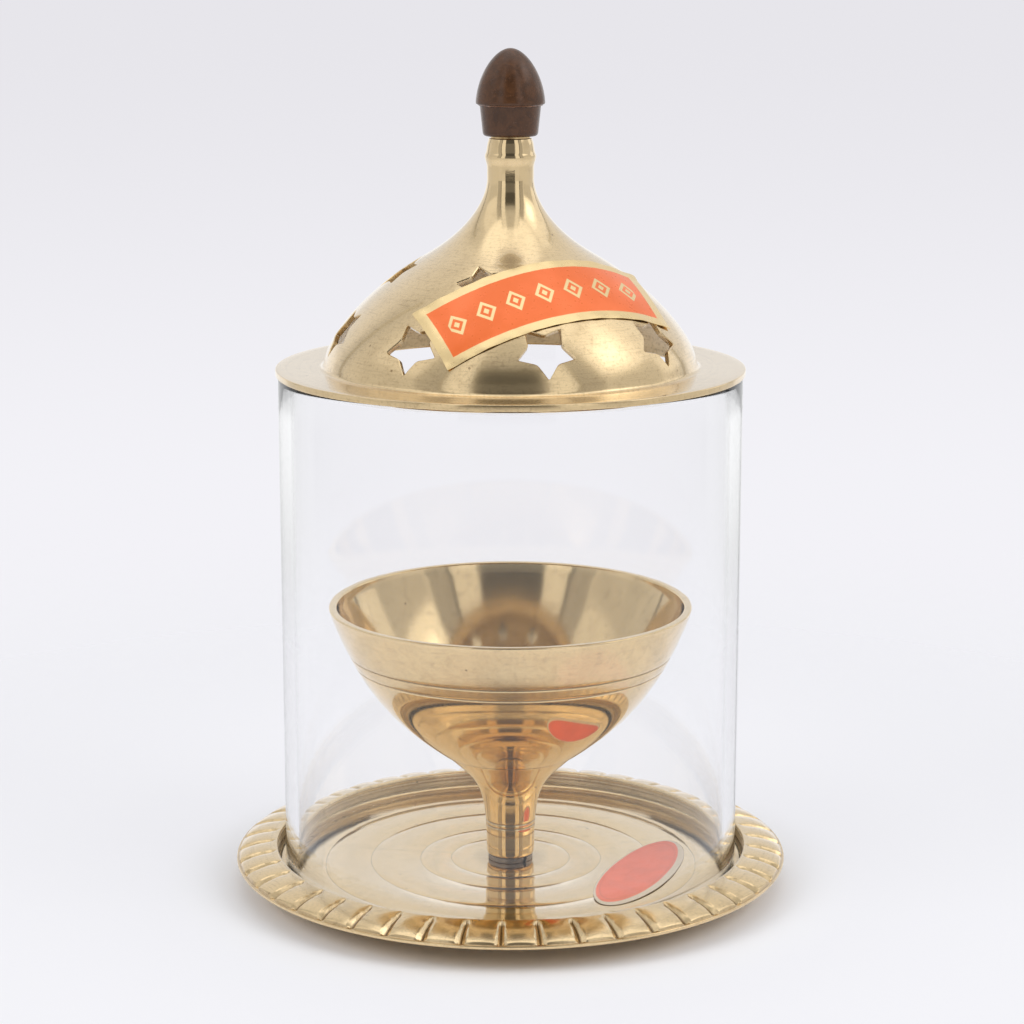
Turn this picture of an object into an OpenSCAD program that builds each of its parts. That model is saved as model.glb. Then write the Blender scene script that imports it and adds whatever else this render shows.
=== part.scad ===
// Akhand diya: an oil bowl on a stem, standing on a fluted plate inside a glass chimney
// with a star-pierced lid. The origin is the middle of the foot on the table; the front is -Y.

/* [Plate] */
// Width of the fluted rim, from the well to the edge of its lip
rim_w = 10; // [9:0.1:16]
// Room between the glass and the wall of the well
well_gap = 2; // [0.5:0.1:4]
// Thickness of the well floor
floor_t = 1.5; // [1.2:0.1:2.5]
// Height of the foot ring under the floor
foot_h = 3; // [2.8:0.1:6]
// Height of the rim's crest above the well floor
rim_rise = 4.8; // [4:0.1:8]
// Thickness of the outer lip
lip_t = 0.8; // [0.6:0.1:1.2]
// Number of grooves between the raised panels of the rim
groove_count = 46; // [30:1:50]
// Angle of one groove from the front
groove_turn = -1.9; // [-4:0.1:4]

/* [Stem and bowl] */
// Height of the joint between stem and bowl above the well floor
seam_h = 27.6; // [22:0.1:34]
// Diameter of the stem's straight foot
stem_foot_d = 11.7; // [11:0.1:14]
// Diameter of the bowl's underside where it meets the stem
stem_top_d = 33.4; // [26:0.1:38]
// Outer diameter of the bowl's rim
bowl_d = 87.8; // [70:0.1:94]
// Height of the bowl from its joint to its rim
bowl_h = 36.8; // [30:0.1:50]
// Wall of the bowl
bowl_wall = 1.6; // [1.2:0.1:2.5]

/* [Glass] */
// Outer diameter of the glass tube
glass_d = 110; // [104:0.5:140]
// Wall of the glass tube
glass_t = 3; // [2:0.1:4]
// Length of the glass tube
glass_h = 120.5; // [100:0.5:160]

/* [Lid] */
// How far the lid's flange stands out past the glass
flange_over = 0.6; // [0:0.1:4]
// Thickness of the flange
flange_t = 1.5; // [1:0.1:2.5]
// Diameter of the dome where it leaves the flange
dome_d = 88.4; // [80:0.1:92]
// Height of the dome above the flange
dome_h = 26.3; // [22:0.1:32]
// Wall of the dome
dome_wall = 1.2; // [0.8:0.1:2]
// Diameter of the crown where the spire meets the dome
crown_d = 40; // [38:0.1:44]
// Height of the spire above the dome
spire_h = 27.3; // [24:0.1:36]
// Diameter of the spire's waist
waist_d = 11; // [10:0.1:14]

/* [Stars] */
// Number of stars in the lower row
low_stars = 8; // [4:1:8]
// Number of stars in the upper row
high_stars = 5; // [3:1:6]
// Distance from the middle of a lower star to its tips
low_star_r = 7; // [4:0.1:7.5]
// Distance from the middle of an upper star to its tips
high_star_r = 6.4; // [4:0.1:6.6]
// Distance from the middle of a star to its inner corners, as a share of the distance to its tips
star_waist = 0.58; // [0.4:0.01:0.7]

/* [Knob] */
// Largest diameter of the knob, at the skirt of its cap
knob_d = 16.2; // [15:0.1:24]
// Height of the knob
knob_h = 20.2; // [19:0.1:30]

/* [Stickers] */
// Width of the foil sticker on the dome
lid_label_w = 56; // [30:0.5:58]
// Height of the foil sticker on the dome
lid_label_h = 19.4; // [10:0.1:20]
// Length of the oval sticker on the plate
plate_label_w = 48.6; // [20:0.1:50]
// Width of the oval sticker on the plate
plate_label_h = 15.8; // [10:0.1:24]
// Thickness of the stickers
label_t = 0.15; // [0.1:0.01:0.3]

/* [Hidden] */
$fn = 96;

BRASS = "#c9a66b";
POLISHED = "#d8b878";
STEEL = "#6b665f";
GLASS = "#dfe9ea80";
BAKELITE = "#4a2a1c";
FOIL = "#f0743c";
PAPER = "#ee9280";

// Clearance between a threaded rod and the hole that turns on it
thread_gap = 0.05;
// Clearance between pieces that are brazed or pressed together
braze_gap = 0.02;
// Clearance between the lid's register and the glass
register_gap = 0.3;
// Glue line under a sticker
glue_t = 0.05;

// Levels above the table
floor_z = foot_h + floor_t;
spring_t = 1.2;
stem_z = floor_z + spring_t;
seam_z = floor_z + seam_h;
bowl_rim_z = seam_z + bowl_h;
flange_z = floor_z + glass_h;
flange_top_z = flange_z + flange_t;
crown_z = flange_top_z + dome_h;
neck_z = crown_z + spire_h;
insert_lip_t = 0.4;
knob_z = neck_z + insert_lip_t;

// Screw that holds the stem down, entered from below the floor
screw_r = 3;
screw_head_r = 5;
screw_head_t = 1.8;
screw_washer_t = 0.6;
screw_reach = 11.5;
bore_spare = 1;

// Stud that holds spire and knob on the dome
stud_r = 2;
crown_washer_t = 1;
crown_nut_t = 3.2;
crown_nut_af = 7;
seat_h = 4.7;
insert_r = 3.6;
insert_h = 11;

// Radii used by more than one piece
stem_foot_r = stem_foot_d / 2;
stem_top_r = stem_top_d / 2;
bowl_r = bowl_d / 2;
glass_r = glass_d / 2;
glass_in_r = glass_r - glass_t;
well_r = glass_r + well_gap;
plate_r = well_r + rim_w;
flange_r = glass_r + flange_over;
dome_r = dome_d / 2;
crown_r = crown_d / 2;
crown_hole_r = crown_r - 1.5;
waist_r = waist_d / 2;
knob_r = knob_d / 2;
spigot_r = 5;
spigot_h = 3.3;

// A cubic curve through p[0] and p[3], drawn with n straight steps
function curve(p, n = 28) = [
    for (i = [0 : n])
        let (t = i / n, u = 1 - t)
        u * u * u * p[0] + 3 * u * u * t * p[1] + 3 * u * t * t * p[2] + t * t * t * p[3]
];

// The same line moved sideways by d, to its left as it runs
function beside(line, d) = [
    for (i = [0 : len(line) - 1])
        let (
            run = line[min(i + 1, len(line) - 1)] - line[max(i - 1, 0)],
            step = run / norm(run)
        )
        line[i] + d * [-step.y, step.x]
];

function backwards(line) = [for (i = [len(line) - 1 : -1 : 0]) line[i]];

// Radius of an outline at a height
function radius_at(line, z) = lookup(z, [for (p = line) [p.y, p.x]]);

// Half outlines as [radius, height]
bowl_line = curve([
    [stem_top_r, seam_z],
    [stem_top_r + 0.38 * (bowl_r - stem_top_r), seam_z + 0.2 * bowl_h],
    [stem_top_r + 0.72 * (bowl_r - stem_top_r), seam_z + 0.41 * bowl_h],
    [bowl_r, bowl_rim_z]
]);

stem_straight_z = floor_z + 0.2 * seam_h;
stem_lip = 0.3;
stem_line = let (
        top_r = stem_top_r - stem_lip,
        wide = top_r - stem_foot_r,
        tall = seam_z - stem_straight_z
    ) curve([
    [stem_foot_r, stem_straight_z],
    [stem_foot_r + 0.04 * wide, seam_z - 0.38 * tall],
    [stem_foot_r + 0.2 * wide, seam_z - 0.34 * tall],
    [top_r, seam_z]
]);

dome_line = curve([
    [dome_r, flange_top_z],
    [dome_r, flange_top_z + 0.25 * dome_h],
    [crown_r + 0.574 * (dome_r - crown_r), crown_z - 0.304 * dome_h],
    [crown_r, crown_z]
]);

flare_h = 0.65 * spire_h;
flare_line = curve([
    [crown_r, crown_z],
    [waist_r + 0.042 * (crown_r - waist_r), crown_z + 0.45 * flare_h],
    [waist_r, crown_z + 0.93 * flare_h],
    [waist_r, crown_z + flare_h]
]);

// Outer slope of the rim, from the crest to the ends of its raised panels
crest_r = well_r + 0.6;
panel_r = plate_r - 0.6;
lip_z = floor_z + 1.2;
crest_z = floor_z + rim_rise;
panel_z = lip_z + lip_t + 0.7;
panel_line = curve([
    [crest_r, crest_z],
    [crest_r + 0.35 * (panel_r - crest_r), crest_z],
    [crest_r + 0.75 * (panel_r - crest_r), crest_z - 0.35 * (crest_z - panel_z)],
    [panel_r, panel_z]
], 6);

// A ring swept round the axis, with its outline given as [radius, height]
module turned(outline) {
    rotate_extrude() polygon(outline);
}

// A fine line scribed round a turned surface
module scribed(r, z, width = 0.5) {
    rotate_extrude() translate([r, z]) circle(d = width, $fn = 24);
}

// Repeats a piece evenly round the axis, starting at an angle from the front
module round_axis(count, first) {
    for (i = [0 : count - 1]) rotate([0, 0, first + i * 360 / count]) children();
}

// A groove between two panels, from the crest of the rim to the ends of the panels
module rim_groove() {
    start = [crest_r - 0.8, crest_z - 0.35];
    end = [panel_r + 0.6, lip_z + lip_t + 0.15];
    run = end - start;
    translate([0, -start.x, start.y])
        rotate([atan2(run.x, run.y), 0, 0])
            linear_extrude(norm(run)) polygon([[-0.35, 0], [0.35, 0], [1.4, 2], [-1.4, 2]]);
}

module base_plate() {
    foot_r = well_r - 5;
    foot_w = 4;
    rim_t = 1.8;
    under = beside(panel_line, -rim_t);
    ring_lines = [0.795, 0.6, 0.388, 0.254];
    color(BRASS)
    difference() {
        turned(concat(
            [[0, foot_h], [foot_r - foot_w, foot_h], [foot_r - foot_w, 0], [foot_r, 0], [foot_r, foot_h],
             [well_r + rim_t, foot_h]],
            [for (p = under) if (p.x > well_r + rim_t + 0.2 && p.x < panel_r - 1 && p.y > lip_z + 0.1) p],
            [[panel_r - 0.7, lip_z], [plate_r, lip_z], [plate_r, lip_z + lip_t], [panel_r + 0.25, lip_z + lip_t]],
            backwards(panel_line),
            [[well_r + 0.15, crest_z - 0.25], [well_r, crest_z - 0.8], [well_r, floor_z + 0.8],
             [well_r - 0.25, floor_z + 0.25], [well_r - 0.8, floor_z], [0, floor_z]]
        ));
        round_axis(groove_count, groove_turn) rim_groove();
        for (k = ring_lines) scribed(k * well_r, floor_z + 0.05);
        translate([0, 0, -1]) cylinder(h = floor_z + 2, r = screw_r + 0.2);
    }
}

module stem_screw() {
    head_z = foot_h - screw_washer_t - screw_head_t;
    color(STEEL)
    difference() {
        union() {
            translate([0, 0, head_z]) cylinder(h = screw_head_t, r = screw_head_r);
            translate([0, 0, head_z + 0.5]) cylinder(h = stem_z + screw_reach - 1 - head_z, r = screw_r);
        }
        translate([-screw_head_r - 1, -0.6, head_z - 1]) cube([2 * screw_head_r + 2, 1.2, 1.9]);
    }
}

module screw_washer() {
    color(STEEL)
    translate([0, 0, foot_h - screw_washer_t])
    difference() {
        cylinder(h = screw_washer_t, r = screw_head_r + 1.5);
        translate([0, 0, -1]) cylinder(h = screw_washer_t + 2, r = screw_r + 0.2);
    }
}

// A split ring under the stem, its slanting cut turned to the front right
module spring_washer() {
    color(STEEL)
    translate([0, 0, floor_z])
    difference() {
        cylinder(h = spring_t, r = screw_r + 2.4);
        translate([0, 0, -1]) cylinder(h = spring_t + 2, r = screw_r + 0.3);
        rotate([0, 0, 40])
            translate([0, -screw_r - 1.5, spring_t / 2])
                rotate([0, 20, 0]) cube([0.7, 4, 4 * spring_t], center = true);
    }
}

module bowl_stem() {
    chamfer = 0.6;
    bore_top = stem_z + screw_reach + bore_spare;
    bore_r = screw_r + thread_gap;
    color(BRASS)
    difference() {
        turned(concat(
            [[0, bore_top], [bore_r, bore_top], [bore_r, stem_z], [stem_foot_r - chamfer, stem_z],
             [stem_foot_r, stem_z + chamfer]],
            stem_line,
            [[spigot_r, seam_z], [spigot_r, seam_z + spigot_h], [0, seam_z + spigot_h]]
        ));
        for (k = [0.324, 0.363])
            let (z = floor_z + k * seam_h) scribed(radius_at(stem_line, z) + 0.05, z);
    }
}

module oil_bowl() {
    floor_in_z = seam_z + 0.13 * bowl_h;
    inner = beside(bowl_line, bowl_wall);
    hollow = [for (p = inner) if (p.y > floor_in_z + 0.3 && p.y < bowl_rim_z - 0.2) p];
    color(BRASS)
    difference() {
        turned(concat(
            [[0, seam_z]],
            bowl_line,
            [[bowl_r - 0.4, bowl_rim_z + 0.15], [hollow[len(hollow) - 1].x + 0.5, bowl_rim_z + 0.15]],
            backwards(hollow),
            [[hollow[0].x - 1, floor_in_z], [0, floor_in_z]]
        ));
        for (k = [0.615, 0.694])
            let (z = seam_z + k * bowl_h) scribed(radius_at(bowl_line, z) + 0.08, z);
        translate([0, 0, seam_z - 1])
            cylinder(h = spigot_h + braze_gap + 1, r = spigot_r + braze_gap);
    }
}

module glass_chimney() {
    round_r = 0.6;
    color(GLASS)
    turned([
        [glass_in_r + round_r, floor_z], [glass_r - round_r, floor_z], [glass_r, floor_z + round_r],
        [glass_r, flange_z - round_r], [glass_r - round_r, flange_z], [glass_in_r + round_r, flange_z],
        [glass_in_r, flange_z - round_r], [glass_in_r, floor_z + round_r]
    ]);
}

// Places a piece on the dome at a height, with its X level, its Y up the slope and its Z outward
module on_dome(z) {
    r = radius_at(dome_line, z);
    run = radius_at(dome_line, z + 0.5) - radius_at(dome_line, z - 0.5);
    translate([0, -r, z]) rotate([atan2(1, -run), 0, 0]) children();
}

// A five-pointed star, standing on one point before it is rolled
module star_cut(tip_r, roll) {
    points = [for (i = [0 : 9]) let (r = i % 2 == 0 ? tip_r : star_waist * tip_r, a = 36 * i + roll)
        [r * sin(a), -r * cos(a)]];
    translate([0, 0, -4]) linear_extrude(8) polygon(points);
}

module lid_dome() {
    register_t = 0.5;
    register_r = glass_in_r - register_gap;
    register_w = 2.2;
    edge = 0.25;
    inner = beside(dome_line, dome_wall);
    color(POLISHED)
    difference() {
        turned(concat(
            [[dome_r - dome_wall, flange_z], [register_r - register_w, flange_z],
             [register_r - register_w, flange_z - register_t], [register_r, flange_z - register_t],
             [register_r, flange_z], [flange_r, flange_z], [flange_r, flange_top_z - edge],
             [flange_r - edge, flange_top_z], [dome_r + 0.9, flange_top_z],
             [dome_r + 0.25, flange_top_z + 0.3]],
            [for (p = dome_line) if (p.y > flange_top_z + 0.8) p],
            [[crown_hole_r, crown_z], [crown_hole_r, crown_z - dome_wall]],
            backwards([for (p = inner) if (p.y < crown_z - dome_wall && p.y > flange_top_z) p])
        ));
        round_axis(low_stars, 11.5) on_dome(flange_top_z + 0.357 * dome_h) star_cut(low_star_r, 0);
        round_axis(high_stars, -14.2) on_dome(flange_top_z + 0.86 * dome_h) star_cut(high_star_r, 200);
    }
}

module lid_spire() {
    plug_r = crown_hole_r - braze_gap;
    plug_h = 2;
    cup_r = 9;
    bore_r = stud_r + 0.15;
    ring_z = crown_z + 0.845 * spire_h;
    color(POLISHED)
    turned(concat(
        [[bore_r, crown_z + seat_h], [cup_r, crown_z + seat_h], [plug_r - 1.8, crown_z - plug_h],
         [plug_r, crown_z - plug_h], [plug_r, crown_z]],
        flare_line,
        [[waist_r + 0.05, crown_z + 0.73 * spire_h], [waist_r + 0.3, crown_z + 0.79 * spire_h],
         [waist_r + 0.5, ring_z - 0.2], [waist_r + 0.5, ring_z + 0.2],
         [waist_r - 0.1, neck_z - 1.4], [waist_r - 0.45, neck_z], [bore_r, neck_z]]
    ));
}

module tie_stud() {
    bottom = crown_z + seat_h - crown_washer_t - crown_nut_t - 0.8;
    top = knob_z + insert_h - 1.5;
    color(STEEL)
    translate([0, 0, bottom]) cylinder(h = top - bottom, r = stud_r);
}

module crown_washer() {
    color(STEEL)
    translate([0, 0, crown_z + seat_h - crown_washer_t])
    difference() {
        cylinder(h = crown_washer_t, r = 6);
        translate([0, 0, -1]) cylinder(h = crown_washer_t + 2, r = stud_r + 0.15);
    }
}

module crown_nut() {
    color(STEEL)
    translate([0, 0, crown_z + seat_h - crown_washer_t - crown_nut_t])
    difference() {
        cylinder(h = crown_nut_t, d = crown_nut_af / cos(30), $fn = 6);
        translate([0, 0, -1]) cylinder(h = crown_nut_t + 2, r = stud_r + braze_gap);
    }
}

// A threaded bush with a thin lip that the knob sits on
module knob_insert() {
    bore_top = knob_z + insert_h - 1;
    bore_r = stud_r + braze_gap;
    color(BRASS)
    turned([
        [bore_r, neck_z], [waist_r - 0.9, neck_z], [waist_r - 0.9, knob_z], [insert_r, knob_z],
        [insert_r, knob_z + insert_h], [0, knob_z + insert_h], [0, bore_top], [bore_r, bore_top]
    ]);
}

// An acorn: a tapered cup below a skirted cap that runs up to a blunt point
module finial_knob() {
    socket_r = insert_r + braze_gap;
    socket_z = knob_z + insert_h + braze_gap;
    skirt_z = knob_z + 0.36 * knob_h;
    top_z = knob_z + knob_h;
    cap_h = top_z - skirt_z;
    cap = curve([
        [knob_r, skirt_z + 0.4],
        [knob_r - 0.45, skirt_z + 0.55 * cap_h],
        [0.44 * knob_r, top_z],
        [0, top_z]
    ], 20);
    color(BAKELITE)
    turned(concat(
        [[socket_r, socket_z], [socket_r, knob_z], [0.7 * knob_r, knob_z], [0.77 * knob_r, knob_z + 0.3],
         [0.8 * knob_r, knob_z + 1], [0.88 * knob_r, skirt_z - 0.2], [knob_r - 0.1, skirt_z]],
        cap,
        [[0, socket_z]]
    ));
}

// A rounded rectangle round the origin
module rounded(w, h, r) {
    square([w - 2 * r, h], center = true);
    square([w, h - 2 * r], center = true);
    for (x = [-1, 1], y = [-1, 1]) translate([x * (w / 2 - r), y * (h / 2 - r)]) circle(r, $fn = 32);
}

// A foil sticker that follows the dome, over its front right side
module lid_label() {
    turn = 3;
    lean = 41.7;
    roll = 22.6;
    middle = [6.3, -0.62 * dome_r - 1, crown_z - 0.172 * dome_h];
    below = 24;
    above = 8;
    skin = concat(dome_line, [for (i = [1 : 12]) flare_line[i]]);
    color(FOIL)
    intersection() {
        turned(concat(beside(skin, -glue_t), backwards(beside(skin, -glue_t - label_t))));
        rotate([0, 0, turn])
            translate(middle)
                rotate([lean, 0, 0])
                    rotate([0, 0, roll])
                        translate([0, 0, -below])
                            linear_extrude(below + above) rounded(lid_label_w, lid_label_h, 0.5);
    }
}

// An oval paper sticker on the well floor, front right of the stem
module plate_label() {
    middle_r = 0.583 * well_r;
    turn = 70.3;
    roll = -3.1;
    steps = 72;
    oval = [for (i = [0 : steps - 1]) let (a = i * 360 / steps)
        [plate_label_w / 2 * cos(a), plate_label_h / 2 * sin(a)]];
    color(PAPER)
    rotate([0, 0, turn])
        translate([0, -middle_r, floor_z + glue_t])
            rotate([0, 0, roll])
                linear_extrude(label_t) polygon(oval);
}

base_plate();
stem_screw();
screw_washer();
spring_washer();
bowl_stem();
oil_bowl();
glass_chimney();
lid_dome();
lid_spire();
tie_stud();
crown_washer();
crown_nut();
knob_insert();
finial_knob();
lid_label();
plate_label();
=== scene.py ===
"""Akhand diya: turned brass, clear glass, a moulded knob and two stickers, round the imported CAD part."""

import math

import bpy
import numpy as np
from bpy.props import FloatProperty, FloatVectorProperty, IntProperty, PointerProperty
from bpy.types import Operator, Panel, PropertyGroup
from mathutils import Matrix, Vector


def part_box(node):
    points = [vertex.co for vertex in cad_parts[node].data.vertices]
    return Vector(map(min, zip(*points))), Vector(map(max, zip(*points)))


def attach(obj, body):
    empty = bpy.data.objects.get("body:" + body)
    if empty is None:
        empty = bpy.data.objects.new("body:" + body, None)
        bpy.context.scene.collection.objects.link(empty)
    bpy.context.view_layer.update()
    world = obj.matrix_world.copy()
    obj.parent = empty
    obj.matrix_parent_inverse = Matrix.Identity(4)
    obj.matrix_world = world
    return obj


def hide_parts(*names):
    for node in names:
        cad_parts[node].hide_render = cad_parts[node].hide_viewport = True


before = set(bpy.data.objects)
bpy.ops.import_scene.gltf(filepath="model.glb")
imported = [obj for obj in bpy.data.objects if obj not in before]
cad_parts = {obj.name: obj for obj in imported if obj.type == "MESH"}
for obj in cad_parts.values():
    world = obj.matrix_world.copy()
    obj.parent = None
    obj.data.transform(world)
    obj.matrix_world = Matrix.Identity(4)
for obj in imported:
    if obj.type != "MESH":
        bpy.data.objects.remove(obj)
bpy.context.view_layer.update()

bl_info = {
    "name": "Akhand diya",
    "version": (1, 0, 0),
    "blender": (4, 5, 0),
    "location": "View3D > Sidebar > Diya",
    "description": "Builds a brass oil lamp with a glass chimney round its CAD frame",
    "category": "Add Mesh",
}

MM = 0.001
MICRON = 1e-6
TURNS = 192
FINE_TURNS = 256
SHARP = math.radians(38)
PLATE_SHARP = math.radians(27)
LID_SHARP = math.radians(26)


def reach(node):
    """Radius, lowest level and highest level of a turned CAD node."""
    low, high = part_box(node)
    return min(high.x - low.x, high.y - low.y) / 2, low.z, high.z


PLATE_R, _, CREST_Z = reach("base_plate")
STEM_R, STEM_Z, SPIGOT_Z = reach("bowl_stem")
BOWL_R, SEAM_Z, BOWL_RIM_Z = reach("oil_bowl")
GLASS_R, FLOOR_Z, FLANGE_Z = reach("glass_chimney")
FLANGE_R, REGISTER_Z, CROWN_Z = reach("lid_dome")
CROWN_R, PLUG_Z, NECK_Z = reach("lid_spire")
KNOB_R, KNOB_Z, TOP_Z = reach("finial_knob")
WASHER_R, _, WASHER_TOP_Z = reach("spring_washer")


def length(name, description, millimetres):
    """A length property with its default given in millimetres."""
    return FloatProperty(
        name=name, description=description, default=millimetres * MM, min=0.0, unit="LENGTH", precision=5
    )


def angle(name, description, degrees):
    """An angle property with its default given in degrees."""
    return FloatProperty(name=name, description=description, default=math.radians(degrees), subtype="ANGLE")


def share(name, description, default):
    """A property from 0 to 1."""
    return FloatProperty(
        name=name, description=description, default=default, min=0.0, max=1.0, subtype="FACTOR"
    )


def colour(name, description, default):
    """A colour property in linear values."""
    return FloatVectorProperty(
        name=name, description=description, default=default, size=3, min=0.0, max=1.0, subtype="COLOR"
    )


class DiyaPlate(PropertyGroup):
    """The fluted plate that carries the lamp."""

    panels: IntProperty(name="Panels", description="Raised panels round the rim", default=46, min=12, max=90)
    first_groove: angle("First groove", "Angle of one groove from the front", -1.9)
    rim_width: length("Rim width", "From the wall of the well to the edge of the lip", 10)
    groove_width: length("Groove width", "Width of a groove at its outer end", 2.8)
    groove_depth: length("Groove depth", "Depth of a groove at its outer end", 1.0)
    crown: length("Crown", "How far a panel falls off towards its grooves", 0.5)
    arch: length("Arch", "How far a panel's end draws in between its grooves", 0.3)
    lip: length("Lip", "Thickness of the outer lip", 0.8)
    foot: length("Foot", "Height of the foot ring", 3)


class DiyaBowl(PropertyGroup):
    """The oil bowl and its stem."""

    joint_radius: length("Joint radius", "Radius of the bowl's underside at the stem", 16.7)
    foot_radius: length("Foot radius", "Radius of the stem's straight foot", 5.85)
    wall: length("Wall", "Wall of the bowl", 1.6)
    bore: length("Bore", "Radius of the threaded hole in the stem", 3.05)
    line_width: length("Line width", "Width of a turned line", 0.6)
    line_depth: length("Line depth", "Depth of a turned line", 0.2)


class DiyaGlass(PropertyGroup):
    """The glass chimney."""

    wall: length("Wall", "Wall of the tube", 3)
    edge: length("Edge", "Rounding of the fire-polished ends", 1.2)
    tint: colour("Tint", "Colour that the glass lends to light", (0.997, 0.998, 1.0))


class DiyaLid(PropertyGroup):
    """The pierced dome and the spire."""

    flange: length("Flange", "Thickness of the flange", 1.5)
    dome_radius: length("Dome radius", "Radius of the dome at the flange", 44.2)
    wall: length("Wall", "Wall of the dome", 1.2)
    waist: length("Waist", "Radius of the spire's waist", 5.5)
    low_stars: IntProperty(name="Low stars", description="Stars in the lower row", default=8, min=1)
    high_stars: IntProperty(name="High stars", description="Stars in the upper row", default=5, min=1)
    low_star: length("Low star", "Middle to tip of a lower star", 7)
    high_star: length("High star", "Middle to tip of an upper star", 6.4)
    star_waist: share("Star waist", "Middle to inner corners, as a share of middle to tips", 0.58)
    low_first: angle("Low first", "Angle of one lower star from the front", 11.5)
    high_first: angle("High first", "Angle of one upper star from the front", -14.2)
    high_roll: angle("High roll", "Turn of an upper star from standing on one point", 200)


class DiyaKnob(PropertyGroup):
    """The moulded knob."""

    socket: length("Socket", "Radius of the socket for the insert", 3.62)
    flash: length("Flash", "Height of the ragged moulding line", 0.22)
    body: colour("Body", "Moulded body", (0.09, 0.036, 0.013))
    edge: colour("Edge", "Ragged moulding line", (0.30, 0.16, 0.11))


class DiyaStickers(PropertyGroup):
    """The foil sticker on the dome and the paper one on the plate."""

    foil_width: length("Foil width", "Width of the foil sticker", 56.1)
    foil_height: length("Foil height", "Height of the foil sticker", 19.4)
    foil_border: length("Foil border", "Width of the gold border", 2.3)
    paper_width: length("Paper width", "Length of the oval sticker", 48.6)
    paper_height: length("Paper height", "Width of the oval sticker", 15.8)
    field_width: length("Field width", "Length of the oval's printed field", 46.1)
    field_height: length("Field height", "Width of the oval's printed field", 13.7)
    field_shift: length("Field shift", "How far the print is off the middle, along and across", 0.7)
    foil_panel: colour("Foil panel", "Printed panel of the foil sticker", (0.78, 0.14, 0.018))
    foil_gold: colour("Foil gold", "Bare foil", (0.92, 0.70, 0.36))
    paper_field: colour("Paper field", "Printed field of the oval sticker", (1.0, 0.17, 0.07))
    paper_edge: colour("Paper edge", "Bare paper", (0.80, 0.67, 0.50))


class DiyaBrass(PropertyGroup):
    """The brass that most pieces share."""

    metal: colour("Metal", "Clean brass", (0.86, 0.65, 0.36))
    # Dark brown for real tarnish, and also for painted shade in scribed lines, groove bottoms, the hollow at
    # the well's foot and the crevices at the stem's joints.
    tarnish_and_shade: colour("Tarnish", "Brass gone dull in grooves and corners", (0.27, 0.16, 0.06))
    lacquer: share("Lacquer", "Weight of the clear lacquer on the plate and the lid", 0.9)
    bowl_lacquer: share("Bowl lacquer", "Weight of the clear lacquer on the bowl", 0.35)


class DiyaStage(PropertyGroup):
    """Camera, floor and studio."""

    lens: FloatProperty(name="Lens", description="Focal length in millimetres", default=95.73)
    distance: length("Distance", "Camera's distance in front of the axis", 638.16)
    height: length("Height", "Camera's height above the table", 227.15)
    tilt: angle("Tilt", "Camera's rotation from straight down", 77.954)
    shift: FloatProperty(name="Shift", description="Sideways lens shift", default=0.0015)
    ground: colour("Ground", "Floor under the lamp", (0.84, 0.84, 0.86))
    backdrop: colour("Backdrop", "Background behind the lamp", (0.895, 0.888, 0.930))
    far: colour("Far", "Background towards the horizon", (0.80, 0.79, 0.83))
    level: FloatProperty(name="Level", description="Strength of the studio light", default=1.0, min=0.0)
    lamp: FloatProperty(name="Lamp", description="Power of each soft lamp in watts", default=5.0, min=0.0)


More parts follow.
